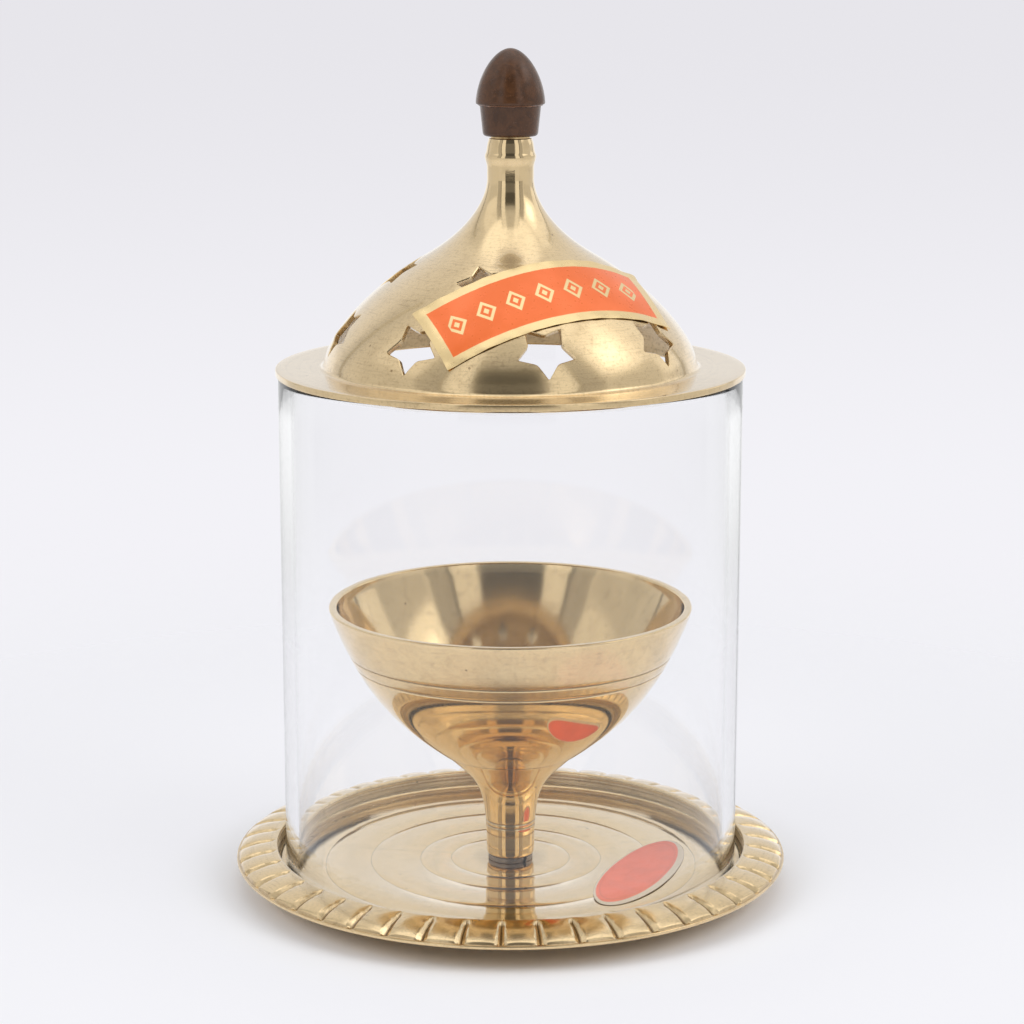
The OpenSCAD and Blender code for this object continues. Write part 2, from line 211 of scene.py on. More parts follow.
class Graph:
    """Short ways to add nodes to a material, world or geometry tree."""

    def __init__(self, tree):
        self.tree = tree

    def put(self, socket, value):
        """Links value to a socket if it is a socket, and otherwise sets it there."""
        if isinstance(value, bpy.types.NodeSocket):
            self.tree.links.new(value, socket)
        else:
            socket.default_value = value

    def add(self, kind, inputs=None, **settings):
        """A new node with its settings and its inputs, by name or by place."""
        node = self.tree.nodes.new(kind)
        for key, value in settings.items():
            setattr(node, key, value)
        for key, value in (inputs or {}).items():
            self.put(node.inputs[key], value)
        return node

    def math(self, operation, *values):
        """A sum on numbers."""
        return self.add("ShaderNodeMath", dict(enumerate(values)), operation=operation).outputs[0]

    def vector(self, operation, *values):
        """The outputs of a sum on vectors."""
        return self.add("ShaderNodeVectorMath", dict(enumerate(values)), operation=operation).outputs

    def split(self, vector):
        """The numbers of a vector, by the names of its axes."""
        return self.add("ShaderNodeSeparateXYZ", {0: vector}).outputs

    def joined(self, **axes):
        """A vector from the numbers of some of its axes."""
        return self.add("ShaderNodeCombineXYZ", axes).outputs[0]

    def place(self):
        """Object coordinates."""
        return self.add("ShaderNodeTexCoord").outputs["Object"]

    def rays(self):
        """What kind of ray asks for a colour."""
        return self.add("ShaderNodeLightPath").outputs

    def ramp(self, value, low, high, start=0.0, end=1.0):
        """Start below low, end above high, and a smooth change between them."""
        inputs = {"Value": value, "From Min": low, "From Max": high, "To Min": start, "To Max": end}
        return self.add("ShaderNodeMapRange", inputs, interpolation_type="SMOOTHSTEP").outputs[0]

    def between(self, value, low, high, soft):
        """1 between low and high, 0 outside them, with soft edges."""
        rise = self.ramp(value, low - soft, low + soft)
        fall = self.ramp(value, high - soft, high + soft, 1.0, 0.0)
        return self.math("MULTIPLY", rise, fall)

    def blend(self, factor, first, second):
        """A mix of two colours."""
        return self.add("ShaderNodeMix", {0: factor, 6: first, 7: second}, data_type="RGBA").outputs[2]

    def mixed(self, factor, first, second):
        """A mix of two shaders."""
        return self.add("ShaderNodeMixShader", {0: factor, 1: first, 2: second}).outputs[0]

    def total(self, first, *terms):
        """First plus each value times its weight."""
        for value, weight in terms:
            first = self.math("MULTIPLY_ADD", value, weight, first)
        return first

    def noise(self, vector, scale, detail=3.0, roughness=0.5, distortion=0.0):
        """Cloudy noise from 0 to 1."""
        inputs = {"Vector": vector, "Scale": scale, "Detail": detail, "Roughness": roughness,
                  "Distortion": distortion}
        return self.add("ShaderNodeTexNoise", inputs).outputs["Fac"]

    def attribute(self, name):
        """A number stored on the mesh."""
        return self.add("ShaderNodeAttribute", attribute_name=name).outputs["Fac"]

    def bump(self, height, depth, normal=None):
        """A normal tilted by a height pattern of the given depth."""
        inputs = {"Height": height, "Distance": depth, "Strength": 1.0}
        if normal is not None:
            inputs["Normal"] = normal
        return self.add("ShaderNodeBump", inputs).outputs[0]


def rgba(values, factor=1.0):
    """A colour with full alpha, made darker or paler by a factor."""
    return (*(min(1.0, factor * value) for value in values), 1.0)


def new_material(name, **constants):
    """A material with its graph and its Principled shader, with the constants on the shader's own sockets."""
    material = bpy.data.materials.new(name)
    material.use_nodes = True
    shader = material.node_tree.nodes["Principled BSDF"]
    for key, value in constants.items():
        shader.inputs[key.replace("_", " ")].default_value = value
    return material, Graph(material.node_tree), shader


def dress(graph, shader, base, roughness, normal):
    """Gives a shader its colour, roughness and normal."""
    for key, value in {"Base Color": base, "Roughness": roughness, "Normal": normal}.items():
        graph.put(shader.inputs[key], value)


def turned_place(graph):
    """Object coordinates, the same place as rings (radius, height), and its direction from the axis."""
    place = graph.place()
    parts = graph.split(place)
    flat = graph.joined(X=parts["X"], Y=parts["Y"])
    radius = graph.vector("LENGTH", flat)["Value"]
    rings = graph.joined(X=radius, Y=parts["Z"])
    spokes = graph.vector("NORMALIZE", flat)["Vector"]
    return place, rings, spokes


def brass_material(name, look, lacquer, lines, ridges, waver, stretch):
    """Lacquered turned brass: tool lines, ridges, streaks, patina, and the dark brown of tarnish and painted
    shade where the mesh asks. Lines, ridges and waver are depths, and stretch pulls reflections out across
    the tool lines."""
    material, graph, shader = new_material(
        name, Metallic=1.0, Anisotropic=stretch, Anisotropic_Rotation=0.25,
        Coat_Weight=lacquer, Coat_Roughness=0.03, Coat_IOR=1.5,
    )
    place, rings, spokes = turned_place(graph)
    tarnish_and_shade, rough = graph.attribute("tarnish_and_shade"), graph.attribute("rough")
    cloud = graph.noise(place, 62.0, 5.0, 0.62)
    grain = graph.noise(place, 1500.0, 2.0)
    tool = graph.noise(rings, 2600.0, 2.0, 0.7)
    smear = graph.ramp(graph.noise(spokes, 7.0, 3.0), 0.5, 0.75)
    drift = graph.vector("DOT_PRODUCT", spokes, (0.004, 0.0, 0.0))["Value"]
    drawn_out = graph.vector("ADD", rings, graph.joined(Z=drift))["Vector"]
    streak = graph.noise(drawn_out, 2200.0, 3.0, 0.6)
    satin = graph.math("ADD", graph.ramp(grain, 0.5, 0.72), graph.ramp(streak, 0.5, 0.72))
    satin = graph.math("MULTIPLY", graph.ramp(rough, 0.08, 0.2), satin)
    spot = graph.add("ShaderNodeTexVoronoi", {"Vector": place, "Scale": 150.0}).outputs["Distance"]
    specks = graph.ramp(spot, 0.035, 0.06, 1.0, 0.0)
    mottle = graph.ramp(graph.noise(place, 420.0, 4.0), 0.5, 0.75)
    grain_in_dark = graph.math("MULTIPLY", grain, tarnish_and_shade)
    # The stain blends in the dark brown: patina, specks and satin grain, plus the mesh's share of tarnish and
    # painted shade.
    stain_and_shade = graph.total(
        tarnish_and_shade, (graph.ramp(cloud, 0.45, 0.8), 0.10), (smear, 0.07), (mottle, 0.12), (satin, 0.2),
        (specks, 0.6), (grain_in_dark, 0.5),
    )
    uneven = graph.math("SUBTRACT", cloud, 0.5)
    rough = graph.total(rough, (uneven, 0.06), (tool, 0.03), (stain_and_shade, 0.15))
    normal = graph.bump(graph.noise(place, 95.0, 1.0), waver)
    normal = graph.bump(graph.noise(rings, 620.0, 2.0), ridges, normal)
    normal = graph.bump(graph.math("ADD", tool, streak), lines, normal)
    normal = graph.bump(grain_in_dark, 30 * MICRON, normal)
    dress(graph, shader, graph.blend(stain_and_shade, rgba(look.metal), rgba(look.tarnish_and_shade)), rough, normal)
    return material


def metal_material(name, base, dark, roughness):
    """Plain plated or machined metal for the small fittings."""
    material, graph, shader = new_material(name, Metallic=1.0)
    place, rings, _ = turned_place(graph)
    cloud = graph.noise(place, 240.0, 4.0, 0.6)
    tool = graph.noise(rings, 3200.0, 2.0)
    mixed = graph.blend(graph.ramp(cloud, 0.42, 0.72), rgba(base), rgba(dark))
    normal = graph.bump(tool, 4 * MICRON, graph.bump(cloud, 12 * MICRON))
    dress(graph, shader, mixed, graph.math("MULTIPLY_ADD", cloud, 0.18, roughness), normal)
    return material


def glass_material(look):
    """Clear drawn tube with long faint ripples and a trace of dust. Shadow rays pass it unbent, and so does
    most light at its foot."""
    material, graph, shader = new_material("clear_tube_glass", Transmission_Weight=1.0, IOR=1.47)
    place, _, spokes = turned_place(graph)
    dust = graph.ramp(graph.noise(place, 900.0, 2.0), 0.68, 0.8)
    ripples = graph.bump(graph.noise(spokes, 9.0, 1.0), 14 * MICRON)
    dress(graph, shader, rgba(look.tint), graph.math("MULTIPLY", dust, 0.05), ripples)
    clear = graph.add("ShaderNodeBsdfTransparent", {"Color": (0.98, 0.985, 0.985, 1.0)})
    height = graph.split(place)["Z"]
    foot = graph.ramp(height, FLOOR_Z + 2 * MM, FLOOR_Z + 4 * MM, 0.95, 0.0)
    passed = graph.math("MAXIMUM", foot, graph.rays()["Is Shadow Ray"])
    output = material.node_tree.nodes["Material Output"]
    graph.put(output.inputs["Surface"], graph.mixed(passed, shader.outputs[0], clear.outputs[0]))
    return material


def bakelite_material(look):
    """Dark moulded resin with a mottled filler and a paler ragged line."""
    material, graph, shader = new_material("brown_bakelite", Specular_IOR_Level=0.45)
    place = graph.place()
    mottle = graph.noise(place, 420.0, 5.0, 0.65, 0.6)
    speck = graph.ramp(graph.noise(place, 2600.0, 2.0), 0.62, 0.72)
    body = graph.blend(graph.ramp(mottle, 0.3, 0.7), rgba(look.body), rgba(look.body, 0.55))
    body = graph.blend(graph.math("MULTIPLY", speck, 0.16), body, rgba(look.edge))
    body = graph.blend(graph.attribute("flash"), body, rgba(look.edge))
    fine = graph.bump(graph.noise(place, 3000.0, 2.0), 5 * MICRON)
    normal = graph.bump(graph.noise(place, 260.0, 2.0), 16 * MICRON, fine)
    dress(graph, shader, body, graph.math("MULTIPLY_ADD", mottle, 0.12, 0.2), normal)
    return material


def sticker_place(graph):
    """The sticker's own coordinates, from -1 to 1 across its width and its height."""
    parts = graph.split(graph.add("ShaderNodeUVMap", uv_map="print").outputs[0])
    return parts["X"], parts["Y"]


def lozenges(graph, across, up, step):
    """A row of plain lozenges, each with a solid middle, from lengths across and up."""
    cell = graph.math("DIVIDE", graph.math("ADD", across, step / 2), step)
    cell = graph.math("SUBTRACT", graph.math("FRACT", cell), 0.5)
    cell = graph.math("ABSOLUTE", graph.math("MULTIPLY", cell, step))
    size = graph.math("ADD", graph.math("MULTIPLY", cell, 1.35), graph.math("ABSOLUTE", up))
    frame_line = graph.between(size, 2.1 * MM, 3.3 * MM, 0.12 * MM)
    middle = graph.ramp(size, 0.9 * MM, 1.1 * MM, 1.0, 0.0)
    return graph.math("MAXIMUM", frame_line, middle)


def foil_material(look):
    """Gold foil with an orange panel and a row of plain lozenges."""
    material, graph, shader = new_material("printed_foil", Coat_Weight=0.1, Coat_Roughness=0.12)
    place = graph.place()
    across, up = sticker_place(graph)
    wide, tall = look.foil_width / 2, look.foil_height / 2
    from_side = graph.math("MULTIPLY", graph.math("SUBTRACT", 1.0, graph.math("ABSOLUTE", across)), wide)
    from_top = graph.math("MULTIPLY", graph.math("SUBTRACT", 1.0, graph.math("ABSOLUTE", up)), tall)
    worn = graph.noise(place, 800.0, 3.0)
    inset = graph.math("MINIMUM", from_side, from_top)
    inset = graph.math("MULTIPLY_ADD", graph.math("SUBTRACT", worn, 0.5), 0.12 * MM, inset)
    panel = graph.ramp(inset, look.foil_border - 0.08 * MM, look.foil_border + 0.08 * MM)
    across, up = graph.math("MULTIPLY", across, wide), graph.math("MULTIPLY", up, tall)
    ornament = lozenges(graph, across, up, 7.2 * MM)
    inside = graph.ramp(from_side, 4.6 * MM, 4.8 * MM)
    gold = graph.math("SUBTRACT", 1.0, panel)
    gold = graph.math("MAXIMUM", gold, graph.math("MULTIPLY", ornament, inside))
    fade = graph.ramp(graph.noise(place, 90.0, 4.0), 0.35, 0.75)
    faded = tuple(1.12 * c + 0.02 for c in look.foil_panel)
    ink = graph.blend(fade, rgba(look.foil_panel), rgba(faded))
    graph.put(shader.inputs["Metallic"], graph.math("MULTIPLY_ADD", gold, 0.8, 0.12))
    creases = graph.bump(graph.noise(place, 210.0, 3.0, 0.6), 70 * MICRON)
    roughness = graph.math("MULTIPLY_ADD", worn, 0.2, 0.2)
    dress(graph, shader, graph.blend(gold, ink, rgba(look.foil_gold)), roughness, creases)
    return material


def oval_distance(graph, across, up, wide, tall):
    """1 on an oval of these half sizes, less inside it and more outside."""
    first = graph.math("POWER", graph.math("DIVIDE", across, wide), 2.0)
    second = graph.math("POWER", graph.math("DIVIDE", up, tall), 2.0)
    return graph.math("SQRT", graph.math("ADD", first, second))


def paper_material(look):
    """Coated paper with a printed field and line, a bare border and a thin painted shadow all round its cut
    edge.
    """
    material, graph, shader = new_material("coated_paper", Coat_Weight=0.2, Coat_Roughness=0.14)
    place = graph.place()
    across, up = sticker_place(graph)
    along = graph.math("MULTIPLY_ADD", across, look.paper_width / 2, -look.field_shift)
    aside = graph.math("MULTIPLY_ADD", up, look.paper_height / 2, -look.field_shift)
    ring = oval_distance(graph, across, up, 1.0, 1.0)
    print_ring = oval_distance(graph, along, aside, look.field_width / 2, look.field_height / 2)
    fibre = graph.noise(place, 2400.0, 3.0)
    cloud = graph.noise(place, 160.0, 3.0)
    ragged = graph.math("MULTIPLY_ADD", graph.math("SUBTRACT", fibre, 0.5), 0.02, print_ring)
    bare = graph.ramp(ragged, 0.988, 1.012)
    line = graph.between(print_ring, 0.9, 0.925, 0.008)
    ink = look.paper_field
    field = graph.blend(graph.ramp(cloud, 0.35, 0.7), rgba(ink), rgba(ink, 0.9))
    field = graph.blend(graph.math("MULTIPLY", line, 0.6), field, rgba(ink, 0.72))
    base = graph.blend(bare, field, rgba(look.paper_edge))
    # Painted shadow: a thin dark brown rim all round the sticker's edge.
    base = graph.blend(graph.ramp(ring, 0.985, 1.0), base, (0.5, 0.4, 0.3, 1.0))
    normal = graph.bump(fibre, 14 * MICRON, graph.bump(cloud, 40 * MICRON))
    dress(graph, shader, base, graph.math("MULTIPLY_ADD", fibre, 0.15, 0.22), normal)
    return material


def curve(ends, steps=28):
    """Points on the cubic curve from the first to the last of four points."""
    p = np.array(ends, float)
    t = np.linspace(0.0, 1.0, steps + 1)[:, None]
    u = 1.0 - t
    return u ** 3 * p[0] + 3 * u * u * t * p[1] + 3 * u * t * t * p[2] + t ** 3 * p[3]


def rounded(start, corner, end, count):
    """Points on the short curve from start to end that takes off a corner."""
    shares = np.linspace(0.0, 1.0, count)
    return [(1 - t) ** 2 * start + 2 * t * (1 - t) * corner + t * t * end for t in shares]


def eased(corners, steps=4):
    """A line through corners given as (radius, height, rounding), with short curves at the rounded ones. A
    curve takes up to 0.48 of the way to the next corner."""
    most = 0.48
    line = []
    for i, (r, z, rounding) in enumerate(corners):
        here = np.array([r, z])
        if rounding == 0 or i in (0, len(corners) - 1):
            line.append(here)
            continue
        before = np.array(corners[i - 1][:2]) - here
        after = np.array(corners[i + 1][:2]) - here
        start = here + before * min(most, rounding / np.linalg.norm(before))
        end = here + after * min(most, rounding / np.linalg.norm(after))
        line.extend(rounded(start, here, end, steps + 1))
    return np.array(line)


def smooth(value):
    """A smooth rise from 0 to 1."""
    t = np.clip(value, 0.0, 1.0)
    return t * t * (3.0 - 2.0 * t)


def left_of(line):
    """Unit vectors to the left of a line as it runs."""
    run = np.gradient(np.array(line), axis=0)
    run /= np.linalg.norm(run, axis=1)[:, None]
    return np.column_stack([-run[:, 1], run[:, 0]])


def lengths_along(line):
    """How far along a line each of its points is."""
    steps = np.linalg.norm(np.diff(line, axis=0), axis=1)
    return np.concatenate([[0.0], np.cumsum(steps)])


def values_at(spots, along, pairs):
    """Pairs of numbers at some spots, from those at known lengths along a line."""
    return np.column_stack([np.interp(spots, along, pairs[:, k]) for k in (0, 1)])


def scribed(line, heights, width, depth):
    """The line with fine grooves cut into its left side at some heights, and each point's depth in one."""
    along = lengths_along(line)
    marks = np.interp(heights, line[:, 1], along)
    kept = [s for s in along if np.all(np.abs(s - marks) > 0.7 * width)]
    cuts = [m + width * k for m in marks for k in (-0.6, -0.45, -0.25, 0.0, 0.25, 0.45, 0.6)]
    spots = np.array(sorted(kept + cuts))
    points = values_at(spots, along, line)
    away = np.min(np.abs(spots[:, None] - marks[None, :]), axis=1)
    deep = np.clip(1.0 - away / (0.5 * width), 0.0, 1.0)
    return points + left_of(points) * (depth * deep)[:, None], deep


class Outline:
    """Half outline of a turned piece, run with its material on its left, with a finish for each point."""

    def __init__(self):
        self.points = []
        self.rough = []
        self.tarnish_and_shade = []

    def add(self, points, rough=0.0, tarnish_and_shade=0.0):
        """More points with a roughness and a share of tarnish and painted shade, each one number or one for
        every point.
        """
        count = len(points)
        self.points.extend((float(r), float(z)) for r, z in points)
        self.rough.extend(np.broadcast_to(rough, count).tolist())
        self.tarnish_and_shade.extend(np.broadcast_to(tarnish_and_shade, count).tolist())


def linked(name, data):
    """A new object in the scene with the given data."""
    item = bpy.data.objects.new(name, data)
    bpy.context.scene.collection.objects.link(item)
    return item


def mesh_object(name, vertices, faces, numbers):
    """A smooth mesh object with named numbers on its points."""
    mesh = bpy.data.meshes.new(name)
    mesh.from_pydata([tuple(v) for v in vertices], [], faces)
    for key, values in numbers.items():
        mesh.attributes.new(key, "FLOAT", "POINT").data.foreach_set("value", np.array(values, np.float32))
    mesh.shade_smooth()
    mesh.set_sharp_from_angle(angle=SHARP)
    return linked(name, mesh)


def band(low, high, closed=True):
    """Faces between two rows of points, where a row of one point is a tip."""
    count = max(len(low), len(high))
    faces = []
    for j in range(count if closed else count - 1):
        k = (j + 1) % count
        corners = (low[j % len(low)], low[k % len(low)], high[k % len(high)], high[j % len(high)])
        faces.append(tuple(dict.fromkeys(corners)))
    return faces


def turned(name, outline, turns=TURNS):
    """A mesh swept round the axis from an outline: from axis to axis, or a closed ring."""
    around = np.linspace(0.0, math.tau, turns, endpoint=False)
    ring = np.column_stack([np.cos(around), np.sin(around)])
    vertices, rows, rough, tarnish_and_shade = [], [], [], []
    for (r, z), gloss, dull in zip(outline.points, outline.rough, outline.tarnish_and_shade):
        spots = [(0.0, 0.0, z)] if r < 1e-7 else [(r * c, r * s, z) for c, s in ring]
        rows.append(range(len(vertices), len(vertices) + len(spots)))
        vertices.extend(spots)
        rough.extend([gloss] * len(spots))
        tarnish_and_shade.extend([dull] * len(spots))
    pairs = list(zip(rows, rows[1:]))
    if len(rows[0]) > 1:
        pairs.append((rows[-1], rows[0]))
    faces = [face for low, high in pairs for face in band(low, high)]
    return mesh_object(name, vertices, faces, {"rough": rough, "tarnish_and_shade": tarnish_and_shade})


def settle(piece, material, body, node):
    """Gives a finished piece its material, and puts it in the place of its CAD node."""
    piece.data.materials.clear()
    piece.data.materials.append(material)
    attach(piece, body)
    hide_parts(node)


def geometry_tree(name, inputs):
    """The graph of a geometry tree with named inputs, its input node's sockets and its output socket."""
    tree = bpy.data.node_groups.new(name, "GeometryNodeTree")
    tree.interface.new_socket("Geometry", in_out="INPUT", socket_type="NodeSocketGeometry")
    for key, kind in inputs.items():
        tree.interface.new_socket(key, in_out="INPUT", socket_type=kind)
    tree.interface.new_socket("Geometry", in_out="OUTPUT", socket_type="NodeSocketGeometry")
    graph = Graph(tree)
    start = graph.add("NodeGroupInput")
    end = graph.add("NodeGroupOutput")
    return graph, start.outputs, end.inputs[0]


def made_by(item, tree, values):
    """The mesh that a geometry tree makes from an object, with the tree's inputs set by name."""
    modifier = item.modifiers.new(tree.name, "NODES")
    modifier.node_group = tree
    for socket in tree.interface.items_tree:
        if socket.item_type == "SOCKET" and socket.in_out == "INPUT" and socket.name in values:
            modifier[socket.identifier] = values[socket.name]
    shown = item.evaluated_get(bpy.context.evaluated_depsgraph_get())
    mesh = bpy.data.meshes.new_from_object(shown)
    item.modifiers.remove(modifier)
    return mesh


def ring_of_copies(graph, piece, count, first):
    """Copies of a piece spread evenly round the axis, the first at an angle from the front."""
    points = graph.add("GeometryNodePoints", {"Count": count}).outputs[0]
    index = graph.add("GeometryNodeInputIndex").outputs[0]
    step = graph.math("DIVIDE", math.tau, count)
    turn = graph.joined(Z=graph.math("MULTIPLY_ADD", index, step, first))
    inputs = {"Points": points, "Instance": piece, "Rotation": turn}
    copies = graph.add("GeometryNodeInstanceOnPoints", inputs)
    return graph.add("GeometryNodeRealizeInstances", {"Geometry": copies.outputs[0]}).outputs[0]


def merged_and_painted(graph, whole, gap, material):
    """A mesh with points closer than a gap merged, and with its material."""
    merged = graph.add("GeometryNodeMergeByDistance", {"Geometry": whole, "Distance": gap}).outputs[0]
    return graph.add("GeometryNodeSetMaterial", {"Geometry": merged, "Material": material}).outputs[0]


def plate_tree():
    """Repeats one panel of the plate round the axis and closes the seams."""
    inputs = {"Panels": "NodeSocketInt", "First groove": "NodeSocketFloat", "Brass": "NodeSocketMaterial"}
    graph, given, result = geometry_tree("plate_panels", inputs)
    whole = ring_of_copies(graph, given["Geometry"], given["Panels"], given["First groove"])
    graph.put(result, merged_and_painted(graph, whole, 1 * MICRON, given["Brass"]))
    return graph.tree


class PlatePanel:
    """One panel of the plate with the slice of floor and underside that belongs to it, in rows from groove to
    groove, each with its points' radius, height, roughness and share of tarnish and painted shade."""

    def __init__(self, sizes):
        self.sizes = sizes
        self.well = PLATE_R - sizes.rim_width
        self.hole = 3.2 * MM
        self.end = PLATE_R - 0.6 * MM
        self.lip_z = FLOOR_Z + 1.2 * MM
        self.lip_top = self.lip_z + sizes.lip
        from_groove = np.array([0.0, 0.045, 0.1, 0.165, 0.23, 0.3, 0.4, 0.65, 1.0])
        self.side = np.concatenate([from_groove - 1.0, 1.0 - from_groove[-2::-1]])
        self.rows = []

    def plain(self, points, rough, tarnish_and_shade=0.0):
        """Rows that are the same all the way across."""
        ones = np.ones_like(self.side)
        for (r, z), dull in zip(points, np.broadcast_to(tarnish_and_shade, len(points))):
            self.rows.append((r * ones, z * ones, rough * ones, dull * ones))

    def underside(self):
        """From the hole, under the floor and round the foot ring, to the lip."""
        foot_z, well = self.sizes.foot, self.well
        foot_out, foot_in = well - 5 * MM, well - 9 * MM
        line = eased([
            (self.hole, foot_z, 0), (foot_in, foot_z, 0.5 * MM), (foot_in, 0.0, 0.4 * MM),
            (foot_out, 0.0, 0.4 * MM), (foot_out, foot_z, 0.5 * MM), (well + 1.8 * MM, foot_z, 0.8 * MM),
            (well + 3.4 * MM, self.lip_z + 0.9 * MM, 0.8 * MM), (self.end - 0.7 * MM, self.lip_z, 0.5 * MM),
            (PLATE_R - 0.2 * MM, self.lip_z, 0),
        ])
        inner = [(r, foot_z) for r in np.linspace(self.hole + 6 * MM, foot_in - 4 * MM, 7)]
        self.plain([line[0], *inner, *line[1:]], 0.32, 0.12)

    def lip(self):
        """Round the edge of the lip."""
        line = eased([
            (PLATE_R - 0.2 * MM, self.lip_z, 0), (PLATE_R, self.lip_z + 0.2 * MM, 0.15 * MM),
            (PLATE_R, self.lip_top - 0.15 * MM, 0.1 * MM), (PLATE_R - 0.12 * MM, self.lip_top, 0),
        ])
        self.plain(line[1:], 0.2, 0.05)

    def rim(self):
        """From the lip up the panel's end, then over the panel, half a groove on each side, to its crest."""
        sizes, side = self.sizes, self.side
        crest, end_z = self.well + 0.6 * MM, self.lip_top + 0.7 * MM
        wide, tall = self.end - crest, CREST_Z - end_z
        slope = curve([
            (crest, CREST_Z), (crest + 0.35 * wide, CREST_Z),
            (crest + 0.75 * wide, CREST_Z - 0.35 * tall), (self.end, end_z),
        ], 18)
        rim = []
        for t, point, normal in zip(np.linspace(0.0, 1.0, len(slope)), slope, left_of(slope)):
            pitch = math.tau * point[0] / sizes.panels
            away = (1.0 - np.abs(side)) * pitch / 2
            half = sizes.groove_width / 2 * (0.5 + 0.5 * t)
            groove = np.clip(1.0 - away / half, 0.0, 1.0)
            depth = sizes.groove_depth * smooth(t / 0.15) * (0.55 + 0.45 * t)
            drop = depth * groove + sizes.crown * smooth(t / 0.25) * np.abs(side) ** 2.6
            draw = sizes.arch * (1.0 - side * side) * t ** 3
            r, z = point[0] - draw - normal[0] * drop, point[1] - normal[1] * drop
            # The bottom of each groove is darkened: tarnish there, and painted shade.
            dull = 0.04 + 0.75 * smooth((groove - 0.66) / 0.3) * smooth(t / 0.12)
            rim.append((r, z, 0.15 + 0.2 * dull, dull))
        end_r, end_z = rim[-1][:2]
        # Painted shadow: the step from each panel's end down to the lip is darkened, most just under the
        # panel's end.
        for down, step in ((1.0, 0.4), (0.85, 0.26), (0.4, 0.14), (0.1, 0.05)):
            z = end_z + (self.lip_top - end_z) * down
            self.rows.append((end_r + step * MM, z, np.full_like(side, 0.24), np.full_like(side, 0.3 * down)))
        self.rows.extend(reversed(rim))

    def wall(self):
        """Over the crest and down the well's ridged wall, to the hollow at its foot, with a little painted
        shade in the recessed ridges and a band of painted shade in the hollow.
        """
        well = self.well
        crest_edge = ((0.38, 0.03), (0.2, 0.14), (0.07, 0.36), (0.0, 0.7))
        self.plain([(well + out * MM, CREST_Z - down * MM) for out, down in crest_edge], 0.2)
        ridges = [(well + 0.1 * MM * (i % 2), CREST_Z - (1.1 + 0.36 * i) * MM) for i in range(5)]
        # The recessed ridges get a little painted shade.
        self.plain(ridges, 0.34, [0.1 * (i % 2) for i in range(5)])
        corner = [(well, FLOOR_Z + 4 * MM, 0), (well, FLOOR_Z, 1.75 * MM), (well - 4 * MM, FLOOR_Z, 0)]
        hollow = eased(corner, 9)[1:]
        hollow[1:-2:2, 1] += 0.04 * MM
        down = np.linspace(0.0, 1.0, len(hollow))
        # Painted shade: a dark band low in the hollow at the wall's foot.
        self.plain(hollow, 0.2, 0.5 * smooth(down / 0.1) * (1.0 - smooth((down - 0.25) / 0.2)))

    def floor(self):
        """Over the well floor with its scribed rings, to the hole, with painted shade in the rings' cuts and
        by the hole.
        """
        ring = ((0.13, 0.0), (0.08, 0.45), (0.03, 1.0), (-0.03, 1.0), (-0.08, 0.45), (-0.13, 0.0))
        spots = [(self.well - gap * MM, 0.0) for gap in (6, 8, 10)]
        for middle in (0.795, 0.6, 0.388, 0.254):
            spots.extend((middle * self.well + off * MM, cut) for off, cut in ring)
            spots.extend((middle * self.well - gap * MM, 0.0) for gap in (2.2, 4.4))
        # Painted shade: each ring's cut is darkened by its depth, and so is the floor by the hole.
        for r, cut in spots:
            self.plain([(r, FLOOR_Z - 0.04 * MM * cut)], 0.06, 0.4 * cut)
        self.plain([(self.hole + 2 * MM, FLOOR_Z), (self.hole, FLOOR_Z)], 0.08, 0.3)

    def item(self):
        """The panel as an object, with one of its grooves at the front."""
        for part in (self.underside, self.lip, self.rim, self.wall, self.floor):
            part()
        pitch = math.tau / self.sizes.panels
        turn = (self.side + 1.0) / 2 * pitch - math.pi / 2
        r, z, rough, tarnish_and_shade = (np.array(values) for values in zip(*self.rows))
        places = np.stack([r * np.cos(turn), r * np.sin(turn), z], axis=2).reshape(-1, 3)
        wide = len(self.side)
        rows = [range(i * wide, (i + 1) * wide) for i in range(len(self.rows))]
        pairs = zip(rows, rows[1:] + rows[:1])
        faces = [face for low, high in pairs for face in band(low, high, closed=False)]
        finish = {"rough": rough.ravel(), "tarnish_and_shade": tarnish_and_shade.ravel()}
        return mesh_object("plate_panel", places, faces, finish)


class DIYA_OT_plate(Operator):
    """Build the fluted plate"""

    bl_idname = "diya.plate"
    bl_label = "Plate"

    def execute(self, context):
        sizes = context.scene.diya_plate
        look = context.scene.diya_brass
        brass = brass_material(
            "plate_turned_brass", look, look.lacquer,
            lines=1.2 * MICRON, ridges=3 * MICRON, waver=22 * MICRON, stretch=0.2,
        )
        panel = PlatePanel(sizes).item()
        values = {"Panels": sizes.panels, "First groove": sizes.first_groove, "Brass": brass}
        mesh = made_by(panel, plate_tree(), values)
        mesh.set_sharp_from_angle(angle=PLATE_SHARP)
        bpy.data.objects.remove(panel)
        settle(linked("fluted_plate", mesh), brass, "base", "base_plate")
        return {"FINISHED"}


def bowl_line():
    """Outside of the bowl from its joint to its rim."""
    sizes = bpy.context.scene.diya_bowl
    r, wide, tall = sizes.joint_radius, BOWL_R - sizes.joint_radius, BOWL_RIM_Z - SEAM_Z - 0.15 * MM
    return curve([
        (r, SEAM_Z), (r + 0.38 * wide, SEAM_Z + 0.2 * tall), (r + 0.72 * wide, SEAM_Z + 0.41 * tall),
        (BOWL_R, SEAM_Z + tall),
    ], 64)


